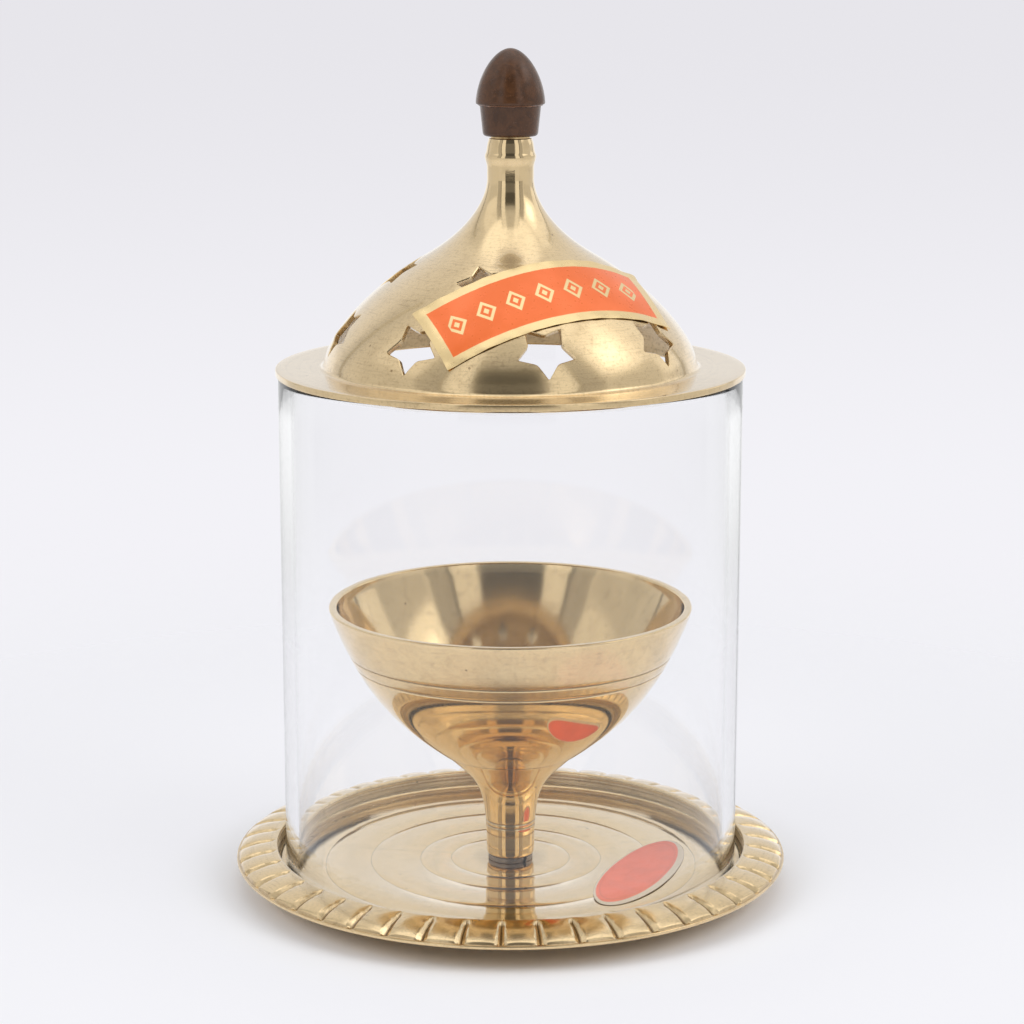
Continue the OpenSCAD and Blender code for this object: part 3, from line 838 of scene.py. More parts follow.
def bowl_outline(sizes):
    """The bowl, from its socket for the stem, up its outside and down its inside."""
    outside, tall, joint_r = bowl_line(), BOWL_RIM_Z - SEAM_Z, sizes.joint_radius
    lines = [SEAM_Z + k * tall for k in (0.615, 0.694)]
    outer, deep = scribed(outside, lines, sizes.line_width, sizes.line_depth)
    satin = smooth((outer[:, 1] - lines[0]) / (0.6 * MM))
    floor_z = SEAM_Z + 0.13 * tall
    inside = outside + left_of(outside) * sizes.wall
    inside = inside[(inside[:, 1] > floor_z + 4 * MM) & (inside[:, 1] < BOWL_RIM_Z - 0.9 * MM)]
    low, high = inside[0], inside[-1]
    slant = (inside[4] - low) / (inside[4][1] - low[1])
    fall = low[1] - floor_z
    corner_r = low[0] - slant[0] * fall
    bottom = curve([low, low - slant * 0.75 * fall, (0.6 * corner_r, floor_z), (0.0, floor_z)], 24)
    joint = eased([(joint_r - 0.5 * MM, SEAM_Z, 0), (joint_r, SEAM_Z, 0.2 * MM), (*outer[1], 0)])
    rim = eased([
        (*outer[-2], 0), (BOWL_R, BOWL_RIM_Z, 0.55 * MM), (high[0] + 0.2 * MM, BOWL_RIM_Z, 0.55 * MM),
        (*high, 0),
    ], 6)
    socket_r, socket_z = 5.02 * MM, SPIGOT_Z + 0.02 * MM
    shape = Outline()
    shape.add([(0, socket_z), (socket_r, socket_z), (socket_r, SEAM_Z)], 0.3)
    # Painted shade in the corner where the bowl meets the stem.
    shape.add([(joint_r - 0.5 * MM, SEAM_Z)], 0.15, 0.6)
    shape.add(joint[1:-1], 0.05)
    # Painted shade in the scribed lines, from their depth.
    shape.add(outer[1:-1], (0.05 + 0.09 * satin + 0.1 * deep)[1:-1], 0.75 * deep[1:-1])
    shape.add(rim[1:-1], 0.1)
    shape.add(inside[::-1], 0.07, 0.14)
    shape.add(bottom[1:], 0.08, 0.16)
    return shape


def stem_outline(sizes):
    """The stem, from its threaded hole, up its foot and flare to the spigot."""
    foot_r, top_r = sizes.foot_radius, STEM_R
    straight_z = FLOOR_Z + 0.2 * (SEAM_Z - FLOOR_Z)
    wide, rise = top_r - foot_r, SEAM_Z - straight_z
    flare = curve([
        (foot_r, straight_z), (foot_r + 0.04 * wide, SEAM_Z - 0.38 * rise),
        (foot_r + 0.2 * wide, SEAM_Z - 0.34 * rise), (top_r, SEAM_Z),
    ], 48)
    foot = eased([
        (sizes.bore, STEM_Z, 0), (foot_r - 0.1 * MM, STEM_Z, 1.1 * MM), (foot_r, straight_z - 2 * MM, 0),
    ], 5)
    straight = [(foot_r, straight_z - gap * MM) for gap in (1.5, 1.0, 0.5)]
    side = np.vstack([foot[2:], straight, flare])
    rings = [FLOOR_Z + k * (SEAM_Z - FLOOR_Z) for k in (0.324, 0.363)]
    side, deep = scribed(side[:-1], rings, sizes.line_width, sizes.line_depth)
    bore_top, spigot_r = STEM_Z + 12.5 * MM, 5 * MM
    shape = Outline()
    shape.add([(0, bore_top), (sizes.bore, bore_top)], 0.35, 0.3)
    shape.add(foot[:2], 0.25, 0.3)
    # Painted shade in the turned rings, from their depth.
    shape.add(side, 0.05 + 0.12 * deep, 0.6 * deep)
    # Painted shade at the crevice under the bowl's joint.
    shape.add([(top_r - 0.1 * MM, SEAM_Z - 0.2 * MM), (top_r - 0.35 * MM, SEAM_Z)], 0.2, [0.1, 0.8])
    shape.add([(spigot_r, SEAM_Z), (spigot_r, SPIGOT_Z), (0, SPIGOT_Z)], 0.3)
    return shape


class DIYA_OT_bowl(Operator):
    """Turn the oil bowl and its stem"""

    bl_idname = "diya.bowl"
    bl_label = "Bowl and stem"

    def execute(self, context):
        sizes = context.scene.diya_bowl
        look = context.scene.diya_brass
        brass = brass_material(
            "bowl_turned_brass", look, look.bowl_lacquer,
            lines=1.2 * MICRON, ridges=2 * MICRON, waver=18 * MICRON, stretch=0.3,
        )
        bowl = turned("oil_bowl_turned", bowl_outline(sizes), FINE_TURNS)
        settle(bowl, brass, "bowl", "oil_bowl")
        settle(turned("stem_turned", stem_outline(sizes)), brass, "bowl", "bowl_stem")
        return {"FINISHED"}


class DIYA_OT_washer(Operator):
    """Bend the split washer under the stem"""

    bl_idname = "diya.washer"
    bl_label = "Split washer"

    def execute(self, context):
        steel = metal_material("browned_spring_steel", (0.38, 0.32, 0.27), (0.17, 0.14, 0.12), 0.32)
        inner, cut, gap, skew = 3.3 * MM, math.radians(40), math.radians(5), 0.36
        low, high, edge = FLOOR_Z, WASHER_TOP_Z, 0.25 * MM
        middle_r, middle_z = (inner + WASHER_R) / 2, (low + high) / 2
        section = eased([
            (middle_r, low, 0), (WASHER_R, low, edge), (WASHER_R, high, edge), (inner, high, edge),
            (inner, low, edge), (middle_r, low, 0),
        ])[:-1]
        vertices, rows = [], []
        for turn in np.linspace(cut + gap, cut + math.tau - gap, 97) - math.pi / 2:
            rows.append(range(len(vertices), len(vertices) + len(section)))
            for r, z in section:
                slant = turn + skew * (z - middle_z) / r
                vertices.append((r * math.cos(slant), r * math.sin(slant), z))
        faces = [face for here, after in zip(rows, rows[1:]) for face in band(after, here)]
        faces += [tuple(rows[0]), tuple(reversed(rows[-1]))]
        washer = mesh_object("split_washer", vertices, faces, {})
        settle(washer, steel, "washer", "spring_washer")
        return {"FINISHED"}


class DIYA_OT_glass(Operator):
    """Draw the glass chimney"""

    bl_idname = "diya.glass"
    bl_label = "Glass chimney"

    def execute(self, context):
        look = context.scene.diya_glass
        inner, middle, edge = GLASS_R - look.wall, GLASS_R - look.wall / 2, look.edge
        levels = np.linspace(FLOOR_Z, FLANGE_Z, 14)[1:-1]
        shape = Outline()
        shape.add(eased([(middle, FLOOR_Z, 0), (GLASS_R, FLOOR_Z, edge), (GLASS_R, levels[0], 0)], 8))
        shape.add([(GLASS_R, z) for z in levels[1:-1]])
        shape.add(eased([
            (GLASS_R, levels[-1], 0), (GLASS_R, FLANGE_Z, edge), (inner, FLANGE_Z, edge),
            (inner, levels[-1], 0),
        ], 8))
        shape.add([(inner, z) for z in levels[-2:0:-1]])
        shape.add(eased([(inner, levels[0], 0), (inner, FLOOR_Z, edge), (middle, FLOOR_Z, 0)], 8)[:-1])
        glass = turned("glass_tube", shape, FINE_TURNS)
        settle(glass, glass_material(look), "chimney", "glass_chimney")
        return {"FINISHED"}


def dome_line():
    """Outside of the dome from the flange to the crown."""
    sizes = bpy.context.scene.diya_lid
    foot_z = FLANGE_Z + sizes.flange
    tall, wide = CROWN_Z - foot_z, sizes.dome_radius - CROWN_R
    return curve([
        (sizes.dome_radius, foot_z), (sizes.dome_radius, foot_z + 0.25 * tall),
        (CROWN_R + 0.574 * wide, CROWN_Z - 0.304 * tall), (CROWN_R, CROWN_Z),
    ], 56)


def flare_line():
    """Outside of the spire from the crown to its waist."""
    waist = bpy.context.scene.diya_lid.waist
    tall, wide = 0.65 * (NECK_Z - CROWN_Z), CROWN_R - waist
    return curve([
        (CROWN_R, CROWN_Z), (waist + 0.042 * wide, CROWN_Z + 0.45 * tall),
        (waist, CROWN_Z + 0.93 * tall), (waist, CROWN_Z + tall),
    ], 56)


def star_outline(tip, waist, roll):
    """A five-pointed star on one point, rolled, with small rounded corners, as points round its middle."""
    corners = []
    for i in range(10):
        r = tip if i % 2 == 0 else waist * tip
        turn = i * math.pi / 5 + roll
        corners.append(np.array([r * math.sin(turn), -r * math.cos(turn)]))
    points = []
    for i, here in enumerate(corners):
        follow = corners[(i + 1) % 10]
        before, after = corners[i - 1] - here, follow - here
        size = (0.5 if i % 2 == 0 else 0.7) * MM
        start = here + before * size / np.linalg.norm(before)
        end = here + after * size / np.linalg.norm(after)
        points.extend(rounded(start, here, end, 4))
        points.extend(end + (follow - end) * k for k in (0.3, 0.6))
    return np.array(points)


def star_cutter(name, tip, height, roll):
    """A star-shaped punch that follows the dome at a height, with a small bevel at the outer face."""
    line = dome_line()
    along, outward = lengths_along(line), -left_of(line)
    middle = np.interp(height, line[:, 1], along)
    star = star_outline(tip, bpy.context.scene.diya_lid.star_waist, roll)
    run = np.roll(star, -1, axis=0) - np.roll(star, 1, axis=0)
    grow = np.column_stack([run[:, 1], -run[:, 0]]) / np.linalg.norm(run, axis=1)[:, None]
    inward, above, bevel = 2.6 * MM, 0.6 * MM, 0.18 * MM
    vertices, rows = [], []
    for depth, wider in ((-inward, 0.0), (-bevel, 0.0), (above, above + bevel)):
        x, y = (star + grow * wider).T
        r, z = values_at(middle + y, along, line).T
        out_r, out_z = values_at(middle + y, along, outward).T
        turn = np.arcsin(x / r) - math.pi / 2
        far = r + out_r * depth
        rows.append(range(len(vertices), len(vertices) + len(star)))
        vertices.extend(np.column_stack([far * np.cos(turn), far * np.sin(turn), z + out_z * depth]))
    hubs = [np.mean([vertices[j] for j in row], axis=0) for row in (rows[0], rows[-1])]
    below, top = [len(vertices)], [len(vertices) + 1]
    pairs = [*zip(rows, rows[1:]), (below, rows[0]), (rows[-1], top)]
    faces = [face for low, high in pairs for face in band(low, high)]
    return mesh_object(name, vertices + hubs, faces, {})


def star_tree():
    """Punches two rows of stars through the dome."""
    inputs = {
        "Low star": "NodeSocketObject", "High star": "NodeSocketObject", "Low stars": "NodeSocketInt",
        "High stars": "NodeSocketInt", "Low first": "NodeSocketFloat", "High first": "NodeSocketFloat",
        "Brass": "NodeSocketMaterial",
    }
    graph, given, result = geometry_tree("star_punch", inputs)
    blank = {"Mesh 1": given["Geometry"]}
    cut = graph.add("GeometryNodeMeshBoolean", blank, operation="DIFFERENCE", solver="EXACT")
    for row in ("Low", "High"):
        punch = graph.add("GeometryNodeObjectInfo", {"Object": given[row + " star"]}).outputs["Geometry"]
        punches = ring_of_copies(graph, punch, given[row + " stars"], given[row + " first"])
        graph.put(cut.inputs["Mesh 2"], punches)
    graph.put(result, merged_and_painted(graph, cut.outputs[0], 2 * MICRON, given["Brass"]))
    return graph.tree


def lid_blank(sizes):
    """The flange and dome before the stars are punched."""
    foot_z, under_z = FLANGE_Z + sizes.flange, FLANGE_Z
    outside = dome_line()
    inside = outside + left_of(outside) * sizes.wall
    inside = inside[(inside[:, 1] < CROWN_Z - sizes.wall) & (inside[:, 1] > foot_z)]
    skin = outside[outside[:, 1] > foot_z + 1.5 * MM]
    register, register_in = 51.7 * MM, 49.5 * MM
    dome_r, dome_in = sizes.dome_radius, sizes.dome_radius - sizes.wall
    hole = CROWN_R - 1.5 * MM
    shape = Outline()
    shape.add(eased([
        (dome_in, foot_z, 0), (dome_in + 0.1 * MM, under_z, 0.5 * MM), (register_in, under_z, 0),
        (register_in, REGISTER_Z, 0.1 * MM), (register, REGISTER_Z, 0.1 * MM), (register, under_z, 0),
        (FLANGE_R, under_z, 0.25 * MM), (FLANGE_R, foot_z, 0.35 * MM),
        (FLANGE_R - 2.5 * MM, foot_z, 0.3 * MM), (dome_r + 4 * MM, foot_z, 0),
    ])[1:])
    shape.add(eased([
        (dome_r + 4 * MM, foot_z, 0), (dome_r + 2.2 * MM, foot_z, 0.3 * MM),
        (dome_r + 0.25 * MM, foot_z - 0.05 * MM, 1.3 * MM), (*skin[0], 0),
    ], 7)[1:])
    shape.add(skin[1:])
    shape.add([(hole, CROWN_Z), (hole, CROWN_Z - sizes.wall)])
    shape.add(inside[::-1])
    return turned("lid_blank", shape, 224)


def lid_finish(mesh, sizes):
    """Polish on the outside of the dome, and duller brass in the star walls and on the inside."""
    places = np.zeros(len(mesh.vertices) * 3)
    mesh.vertices.foreach_get("co", places)
    x, y, z = places.reshape(-1, 3).T
    flat = np.column_stack([np.hypot(x, y), z])
    line = dome_line()
    away = np.array([np.min(np.linalg.norm(line - p, axis=1)) for p in flat])
    near_dome = flat[:, 0] < sizes.dome_radius + 0.1 * MM
    dull = np.where(near_dome, smooth((away - 0.5 * MM) / (0.5 * MM)), 0.0)
    dull = np.where(z < FLANGE_Z + 0.3 * MM, 0.2, dull)
    for key, values in {"rough": 0.19 + 0.11 * dull, "tarnish_and_shade": 0.3 * dull}.items():
        layer = mesh.attributes.get(key) or mesh.attributes.new(key, "FLOAT", "POINT")
        layer.data.foreach_set("value", values.astype(np.float32))


def pierced_dome(sizes, brass):
    """The mesh of the lid with its stars punched through and its finish."""
    foot_z = FLANGE_Z + sizes.flange
    tall = CROWN_Z - foot_z
    low_z, high_z = foot_z + 0.357 * tall, foot_z + 0.86 * tall
    low = star_cutter("low_punch", sizes.low_star, low_z, 0.0)
    high = star_cutter("high_punch", sizes.high_star, high_z, sizes.high_roll)
    blank = lid_blank(sizes)
    mesh = made_by(blank, star_tree(), {
        "Low star": low, "High star": high, "Low stars": sizes.low_stars, "High stars": sizes.high_stars,
        "Low first": sizes.low_first, "High first": sizes.high_first, "Brass": brass,
    })
    for scrap in (low, high, blank):
        bpy.data.objects.remove(scrap)
    lid_finish(mesh, sizes)
    mesh.shade_smooth()
    mesh.set_sharp_from_angle(angle=LID_SHARP)
    return mesh


def spire_outline(sizes):
    """The spire, from its bore and its plug in the crown, up the flare to the ring under the knob."""
    bore, plug = 2.15 * MM, CROWN_R - 1.52 * MM
    seat_z, tall = CROWN_Z + 4.7 * MM, NECK_Z - CROWN_Z
    ring_z = CROWN_Z + 0.845 * tall
    flare, waist = flare_line(), sizes.waist
    shape = Outline()
    shape.add(eased([
        (bore, seat_z, 0), (9 * MM, seat_z, 0.5 * MM), (plug - 1.8 * MM, PLUG_Z, 0.2 * MM),
        (plug, PLUG_Z, 0.2 * MM), (plug, CROWN_Z, 0),
    ]), 0.3, 0.15)
    shape.add([(CROWN_R - 0.05 * MM, CROWN_Z)], 0.15, 0.05)
    shape.add(flare[1:], np.linspace(0.17, 0.05, len(flare) - 1))
    shape.add(eased([
        (*flare[-1], 0), (waist + 0.03 * MM, CROWN_Z + 0.77 * tall, 0.8 * MM),
        (waist + 0.5 * MM, ring_z - 0.6 * MM, 0.9 * MM), (waist + 0.55 * MM, ring_z + 0.2 * MM, 0.7 * MM),
        (waist + 0.2 * MM, ring_z + 1.0 * MM, 0.5 * MM), (waist - 0.1 * MM, NECK_Z - 1.2 * MM, 0.4 * MM),
        (waist - 0.5 * MM, NECK_Z, 0.2 * MM), (bore, NECK_Z, 0),
    ], 6)[1:], 0.05)
    return shape


class DIYA_OT_lid(Operator):
    """Turn the lid, punch its stars and set the spire on it"""

    bl_idname = "diya.lid"
    bl_label = "Lid and spire"

    def execute(self, context):
        sizes = context.scene.diya_lid
        look = context.scene.diya_brass
        brass = brass_material(
            "lid_turned_brass", look, look.lacquer,
            lines=3.5 * MICRON, ridges=12 * MICRON, waver=16 * MICRON, stretch=0.65,
        )
        dome = linked("pierced_dome", pierced_dome(sizes, brass))
        settle(dome, brass, "lid", "lid_dome")
        settle(turned("spire_turned", spire_outline(sizes)), brass, "lid", "lid_spire")
        return {"FINISHED"}


class DIYA_OT_knob(Operator):
    """Mould the knob with its ragged line"""

    bl_idname = "diya.knob"
    bl_label = "Knob"

    def execute(self, context):
        look = context.scene.diya_knob
        skirt = KNOB_Z + 0.36 * (TOP_Z - KNOB_Z)
        socket_z = KNOB_Z + 11.02 * MM
        cap = curve([
            (KNOB_R, skirt + 0.45 * MM), (KNOB_R - 0.45 * MM, skirt + 0.55 * (TOP_Z - skirt)),
            (0.44 * KNOB_R, TOP_Z), (0.0, TOP_Z),
        ], 40)
        shape = Outline()
        shape.add([(0, socket_z), (look.socket, socket_z), (look.socket, KNOB_Z)])
        shape.add(eased([
            (look.socket, KNOB_Z, 0), (0.79 * KNOB_R, KNOB_Z, 0.9 * MM),
            (0.88 * KNOB_R, skirt - 0.35 * MM, 0), (0.885 * KNOB_R, skirt - 0.22 * MM, 0),
        ], 8)[1:])
        ragged = len(shape.points)
        # These two rows carry the ragged moulding line in the outline's second share, which is renamed flash
        # below.
        shape.add([(0.905 * KNOB_R, skirt - 0.2 * MM), (0.93 * KNOB_R, skirt - 0.08 * MM)], tarnish_and_shade=1.0)
        shape.add([(0.945 * KNOB_R, skirt + 0.02 * MM), (KNOB_R - 0.12 * MM, skirt + 0.16 * MM)])
        shape.add(cap)
        knob = turned("moulded_knob", shape)
        knob.data.attributes["tarnish_and_shade"].name = "flash"
        first = 1 + (ragged - 1) * TURNS
        for vertex in knob.data.vertices[first:first + 2 * TURNS]:
            turn = math.atan2(vertex.co.y, vertex.co.x)
            wave = math.sin(9 * turn) + 0.8 * math.sin(23 * turn + 1.1) + 0.6 * math.sin(41 * turn + 2.3)
            vertex.co.z += 0.3 * look.flash * wave
        settle(knob, bakelite_material(look), "lid", "finial_knob")
        return {"FINISHED"}


def sticker_shell(name, rows, columns, spot, is_round=False):
    """A thin closed sheet with its own print map on both faces. For a row's and a column's value, spot gives
    the upper point, the lower point and the place in the print. In a round sheet each row is a ring, and the
    first one shrinks to its middle."""
    grid = [[spot(row, column) for column in columns] for row in rows]
    if is_round:
        grid[0] = grid[0][:1]
    points, index = [], []
    for line in grid:
        index.append(list(range(len(points), len(points) + len(line))))
        points.extend(line)
    count = len(points)
    faces = []
    for low, high in zip(index, index[1:]):
        for face in band(low, high, closed=is_round):
            faces.append(face)
            faces.append(tuple(count + k for k in reversed(face)))
    edge = index[-1][::-1]
    if not is_round:
        edge += [row[0] for row in reversed(index[:-1])]
        edge += index[0][1:]
        edge += [row[-1] for row in index[1:-1]]
    for a, b in zip(edge, edge[1:] + edge[:1]):
        faces.append((b, a, count + a, count + b))
    upper, lower, prints = zip(*points)
    sheet = mesh_object(name, upper + lower, faces, {})
    layer = sheet.data.uv_layers.new(name="print")
    for loop in sheet.data.loops:
        layer.data[loop.index].uv = prints[loop.vertex_index % count]
    return sheet


def landing(line, start, drop):
    """Where a point that falls from start along drop meets the surface turned from a line."""
    near, far, halvings = 0.0, 40 * MM, 26
    for _ in range(halvings):
        middle = (near + far) / 2
        spot = start + drop * middle
        outside = math.hypot(spot.x, spot.y) > np.interp(spot.z, line[:, 1], line[:, 0])
        near, far = (middle, far) if outside else (near, middle)
    return start + drop * near


class DIYA_OT_stickers(Operator):
    """Lay the foil sticker on the dome and the paper one on the plate"""

    bl_idname = "diya.stickers"
    bl_label = "Stickers"

    def execute(self, context):
        look = context.scene.diya_stickers
        self.foil(look, context.scene.diya_lid)
        self.paper(look)
        return {"FINISHED"}

    def foil(self, look, lid):
        """The foil sticker, dropped on the dome along its own normal, with edges that lift a little."""
        line = np.vstack([dome_line(), flare_line()[1:30]])
        tall = CROWN_Z - FLANGE_Z - lid.flange
        middle = (6.29 * MM, -0.62 * lid.dome_radius - 1 * MM, CROWN_Z - 0.172 * tall)
        round_dome, lean, slant = (math.radians(degrees) for degrees in (2.93, 41.7, 22.6))
        above, thickness = 10 * MM, 0.1 * MM
        place = (
            Matrix.Rotation(round_dome, 4, "Z") @ Matrix.Translation(middle)
            @ Matrix.Rotation(lean, 4, "X") @ Matrix.Rotation(slant, 4, "Z")
        )
        drop = -(place.to_3x3() @ Vector((0, 0, 1)))

        def spot(v, u):
            start = place @ Vector((u * look.foil_width / 2, v * look.foil_height / 2, above))
            hit = landing(line, start, drop)
            edge = smooth(max(abs(u) - 0.86, 0.0) / 0.14) + smooth(max(abs(v) - 0.7, 0.0) / 0.3)
            ripple = 0.5 + 0.5 * math.sin(9.0 * u + 2.0 * v) * math.sin(23.0 * u + 0.7)
            lift = 0.12 * MM + (0.1 + 0.28 * ripple) * MM * edge
            away = Vector((hit.x, hit.y, 0.0)).normalized() * 0.72 + Vector((0, 0, 0.69))
            return hit + away * lift, hit + away * (lift - thickness), (u, v)

        sticker = sticker_shell("foil_sticker", np.linspace(-1, 1, 41), np.linspace(-1, 1, 113), spot)
        settle(sticker, foil_material(look), "lid", "lid_label")

    def paper(self, look):
        """The oval paper sticker, flat on the well floor with a slightly raised edge."""
        low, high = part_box("plate_label")
        middle = (low + high) / 2
        turn = Matrix.Rotation(math.radians(67.2), 3, "Z")

        def spot(ring, spoke):
            u, v = ring * math.cos(spoke), ring * math.sin(spoke)
            flat = turn @ Vector((u * look.paper_width / 2, v * look.paper_height / 2, 0))
            lift = 0.12 * MM * smooth((ring - 0.8) / 0.2) * (0.5 + 0.5 * math.sin(3 * spoke + 1.0))
            x, y, z = middle.x + flat.x, middle.y + flat.y, FLOOR_Z + lift
            return (x, y, z + 0.14 * MM), (x, y, z + 0.04 * MM), (u, v)

        rings, spokes = np.linspace(0.0, 1.0, 25), np.linspace(math.tau, 0.0, 96, endpoint=False)
        sticker = sticker_shell("oval_sticker", rings, spokes, spot, is_round=True)
        settle(sticker, paper_material(look), "base", "plate_label")


class DIYA_OT_fittings(Operator):
    """Finish the screws, washers, nut and insert that stay as CAD nodes"""

    bl_idname = "diya.fittings"
    bl_label = "Fittings"

    def execute(self, context):
        zinc = metal_material("zinc_plated_steel", (0.56, 0.55, 0.53), (0.32, 0.30, 0.28), 0.26)
        brass = metal_material("machined_brass", (0.78, 0.57, 0.30), (0.42, 0.27, 0.12), 0.24)
        finishes = {
            "stem_screw": zinc, "screw_washer": zinc, "tie_stud": zinc, "crown_washer": zinc,
            "crown_nut": zinc, "knob_insert": brass,
        }
        for node, material in finishes.items():
            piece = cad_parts[node]
            piece.data.materials.clear()
            piece.data.materials.append(material)
        return {"FINISHED"}


# Panels of the light tent, each painted over those before it: left, right, low and high edge in degrees
# from the front and from the horizon, brightness, and softness of the edges in degrees
TENT_LEVEL = 0.82
TENT_PANELS = (
    # Foot of the tent at the rear and the sides, and the table towards the front and the sides
    (-190, -138, -12, 7, 1.0, 3.0),
    (138, 190, -12, 7, 1.0, 3.0),
    (-138, -60, -12, 7, 0.72, 3.0),
    (60, 138, -12, 7, 0.72, 3.0),
    (-60, 60, -20, -4, 0.75, 2.0),
    (-105, -60, -20, -4, 0.72, 2.0),
    (60, 105, -20, -4, 0.72, 2.0),
    # Roof
    (-180, 180, 62, 90, 1.25, 5.0),
    # Grey front with a bright strip and a dark seam on each side
    (-62, 62, -4, 62, 0.48, 1.5),
    (-43, -24, -4, 76, 0.95, 1.5),
    (24, 43, -4, 76, 0.95, 1.5),
    (-46, -43, -4, 74, 0.22, 0.7),
    (43, 46, -4, 74, 0.22, 0.7),
    # Gap for the camera
    (-24, 24, 52, 80, 0.62, 3.0),
    (-25, 22, 45, 56, 0.45, 2.0),
    (-25, 22, -7, 6, 0.11, 0.6),
    (-24, 21, 4, 27, 0.19, 4.0),
    (-25, 22, 26, 48, 0.09, 2.0),
    # Lamps at the sides, and seams behind them
    (-135, -108, 8, 60, 0.7, 3.0),
    (108, 135, 8, 60, 1.05, 3.0),
    (-108, -64, 6, 30, 0.65, 4.0),
    (64, 108, 6, 30, 0.65, 4.0),
    (-108, -64, 28, 60, 0.9, 3.0),
    (64, 108, 28, 60, 1.3, 3.0),
    (72, 98, 36, 52, 2.0, 5.0),
    (-129, -126, 0, 50, 0.22, 0.5),
    (131.5, 134.5, 0, 50, 0.22, 0.5),
)


def floor_material(look):
    """A pale floor with painted light: from the plate's edge outward it glows for camera, glossy and
    transmission rays, so the ring next to the plate is left as a painted soft shadow; further out it fades
    into the background.
    """
    glow_from, glow_full, fade_from, fade_full = 67 * MM, 88 * MM, 120 * MM, 420 * MM
    material, graph, shader = new_material("pale_floor", Roughness=0.6, Specular_IOR_Level=0.2)
    place = graph.place()
    tone = graph.ramp(graph.noise(place, 3.0, 2.0), 0.2, 0.8)
    graph.put(shader.inputs["Base Color"], graph.blend(tone, rgba(look.ground), rgba(look.ground, 1.01)))
    radius = graph.vector("LENGTH", place)["Value"]
    rays = graph.rays()
    seen = graph.math("MAXIMUM", rays["Is Glossy Ray"], rays["Is Transmission Ray"])
    seen = graph.math("MAXIMUM", rays["Is Camera Ray"], seen)
    painted_light = graph.add("ShaderNodeEmission", {"Color": (0.87, 0.868, 0.91, 1.0)})
    # Painted light and shadow: the floor glows more with distance from the plate's edge, up to 0.7 of the
    # mix.
    painted_glow = graph.math("MULTIPLY", seen, graph.ramp(radius, glow_from, glow_full, 0.0, 0.7))
    lit = graph.mixed(painted_glow, shader.outputs[0], painted_light.outputs[0])
    clear = graph.add("ShaderNodeBsdfTransparent").outputs[0]
    faded = graph.mixed(graph.ramp(radius, fade_from, fade_full), lit, clear)
    graph.put(material.node_tree.nodes["Material Output"].inputs["Surface"], faded)
    return material


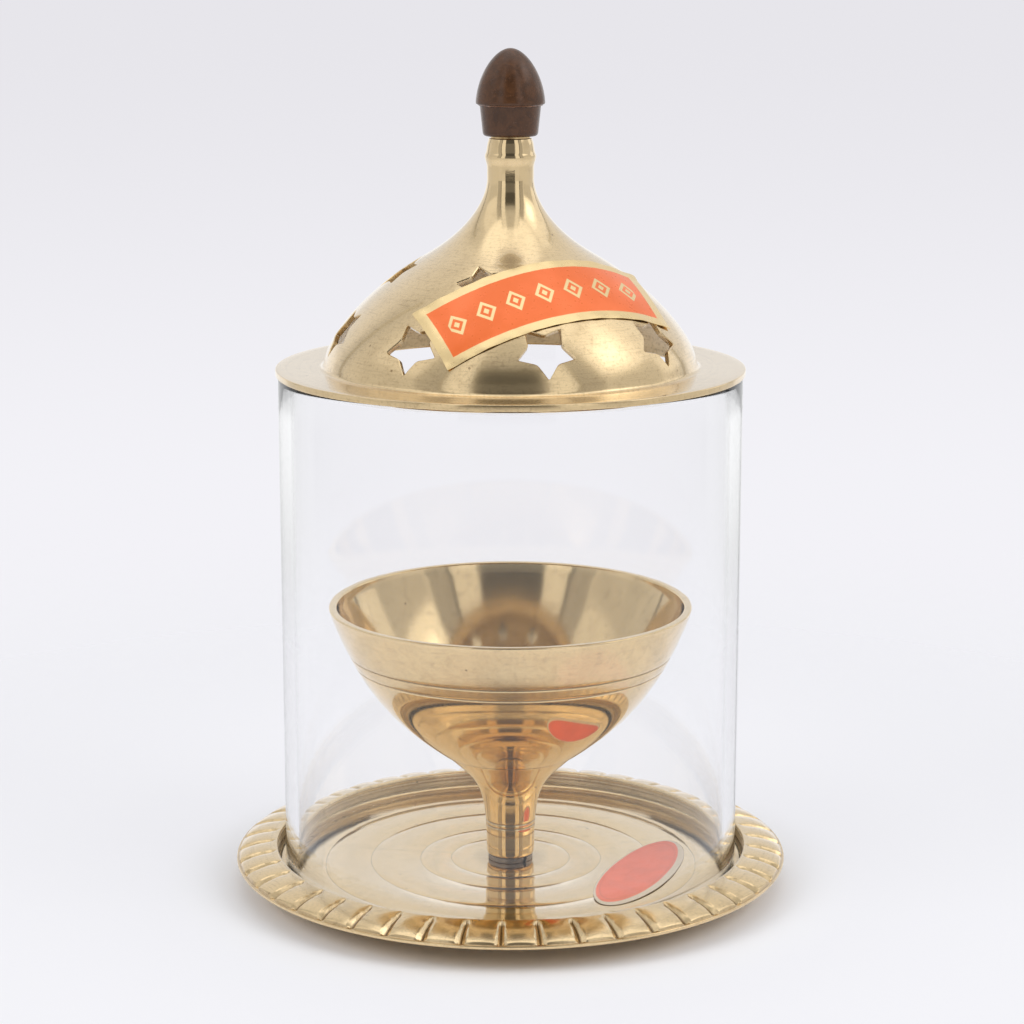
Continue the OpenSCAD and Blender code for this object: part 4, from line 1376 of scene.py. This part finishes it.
class DIYA_OT_stage(Operator):
    """Set up the floor, the studio and the camera"""

    bl_idname = "diya.stage"
    bl_label = "Stage"

    def execute(self, context):
        look = context.scene.diya_stage
        self.floor(look)
        self.studio(context.scene, look)
        self.lamps(look)
        self.camera(context.scene, look)
        context.scene.view_settings.view_transform = "Standard"
        return {"FINISHED"}

    def floor(self, look):
        """A round floor under the lamp."""
        radius, thickness = 0.5, 2 * MM
        shape = Outline()
        shape.add([(0, -thickness), (radius, -thickness), (radius, 0), (radius / 2, 0), (0, 0)])
        floor = turned("floor", shape, 96)
        floor.data.materials.append(floor_material(look))

    def studio(self, scene, look):
        """A light tent of soft panels, with a plain backdrop for the camera, also through the glass."""
        world = bpy.data.worlds.new("studio")
        world.use_nodes = True
        scene.world = world
        graph = Graph(world.node_tree)
        parts = graph.split(graph.add("ShaderNodeTexCoord").outputs["Generated"])
        front = graph.math("MULTIPLY", parts["Y"], -1.0)
        azimuth = graph.math("DEGREES", graph.math("ARCTAN2", parts["X"], front))
        height = graph.math("DEGREES", graph.math("ARCSINE", parts["Z"]))
        light = TENT_LEVEL
        for left, right, low, high, level, soft in TENT_PANELS:
            across, up = graph.between(azimuth, left, right, soft), graph.between(height, low, high, soft)
            light = graph.ramp(graph.math("MULTIPLY", across, up), 0.0, 1.0, light, level)
        light = graph.math("MULTIPLY", light, look.level)
        tent = graph.add("ShaderNodeBackground", {"Color": (0.985, 0.99, 1.0, 1.0), "Strength": light})
        shade = graph.blend(graph.ramp(height, -12.0, -1.4), rgba(look.backdrop), rgba(look.far))
        backdrop = graph.add("ShaderNodeBackground", {"Color": shade, "Strength": 1.0})
        rays = graph.rays()
        bounces = graph.math("ADD", rays["Glossy Depth"], rays["Diffuse Depth"])
        through = graph.math("MULTIPLY", rays["Is Transmission Ray"], graph.math("LESS_THAN", bounces, 0.5))
        plain = graph.math("MAXIMUM", rays["Is Camera Ray"], through)
        surface = graph.mixed(plain, tent.outputs[0], backdrop.outputs[0])
        graph.put(world.node_tree.nodes["World Output"].inputs["Surface"], surface)

    def lamps(self, look):
        """Two broad soft lamps that lift the floor, the knob and the stickers, and show in no reflection."""
        for side in (-1, 1):
            data = bpy.data.lights.new("soft_lamp", "AREA")
            data.shape = "DISK"
            data.size = 0.7
            data.energy = look.lamp
            lamp = linked("soft_lamp", data)
            lamp.location = (0.85 * side, -0.45, 0.75)
            lamp.rotation_euler = Vector(lamp.location).to_track_quat("Z", "Y").to_euler()
            lamp.visible_camera = False
            lamp.visible_glossy = False
            lamp.visible_transmission = False

    def camera(self, scene, look):
        """The camera at the photograph's viewing angle."""
        data = bpy.data.cameras.new("camera")
        data.lens = look.lens
        data.shift_x = look.shift
        data.clip_start = 0.01
        item = linked("camera", data)
        item.location = (0.0, -look.distance, look.height)
        item.rotation_euler = (look.tilt, 0.0, 0.0)
        scene.camera = item


class DIYA_PT_lamp(Panel):
    """Lists the steps that build the lamp, and their values."""

    bl_label = "Akhand diya"
    bl_space_type = "VIEW_3D"
    bl_region_type = "UI"
    bl_category = "Diya"

    def draw(self, context):
        for step in STEPS:
            self.layout.operator(step.bl_idname)
        for name in GROUPS:
            group = getattr(context.scene, name)
            box = self.layout.box()
            for key in group.bl_rna.properties.keys():
                if key not in ("rna_type", "name"):
                    box.prop(group, key)


GROUPS = {
    "diya_plate": DiyaPlate, "diya_bowl": DiyaBowl, "diya_glass": DiyaGlass, "diya_lid": DiyaLid,
    "diya_knob": DiyaKnob, "diya_stickers": DiyaStickers, "diya_brass": DiyaBrass, "diya_stage": DiyaStage,
}
STEPS = (
    DIYA_OT_plate, DIYA_OT_bowl, DIYA_OT_washer, DIYA_OT_glass, DIYA_OT_lid, DIYA_OT_knob,
    DIYA_OT_stickers, DIYA_OT_fittings, DIYA_OT_stage,
)


def register():
    for group in GROUPS.values():
        bpy.utils.register_class(group)
    for name, group in GROUPS.items():
        setattr(bpy.types.Scene, name, PointerProperty(type=group))
    for item in (*STEPS, DIYA_PT_lamp):
        bpy.utils.register_class(item)


def unregister():
    for item in (DIYA_PT_lamp, *reversed(STEPS)):
        bpy.utils.unregister_class(item)
    for name, group in GROUPS.items():
        delattr(bpy.types.Scene, name)
        bpy.utils.unregister_class(group)


def main():
    register()
    bpy.ops.diya.plate()
    bpy.ops.diya.bowl()
    bpy.ops.diya.washer()
    bpy.ops.diya.glass()
    bpy.ops.diya.lid()
    bpy.ops.diya.knob()
    bpy.ops.diya.stickers()
    bpy.ops.diya.fittings()
    bpy.ops.diya.stage()


if __name__ == "__main__":
    main()
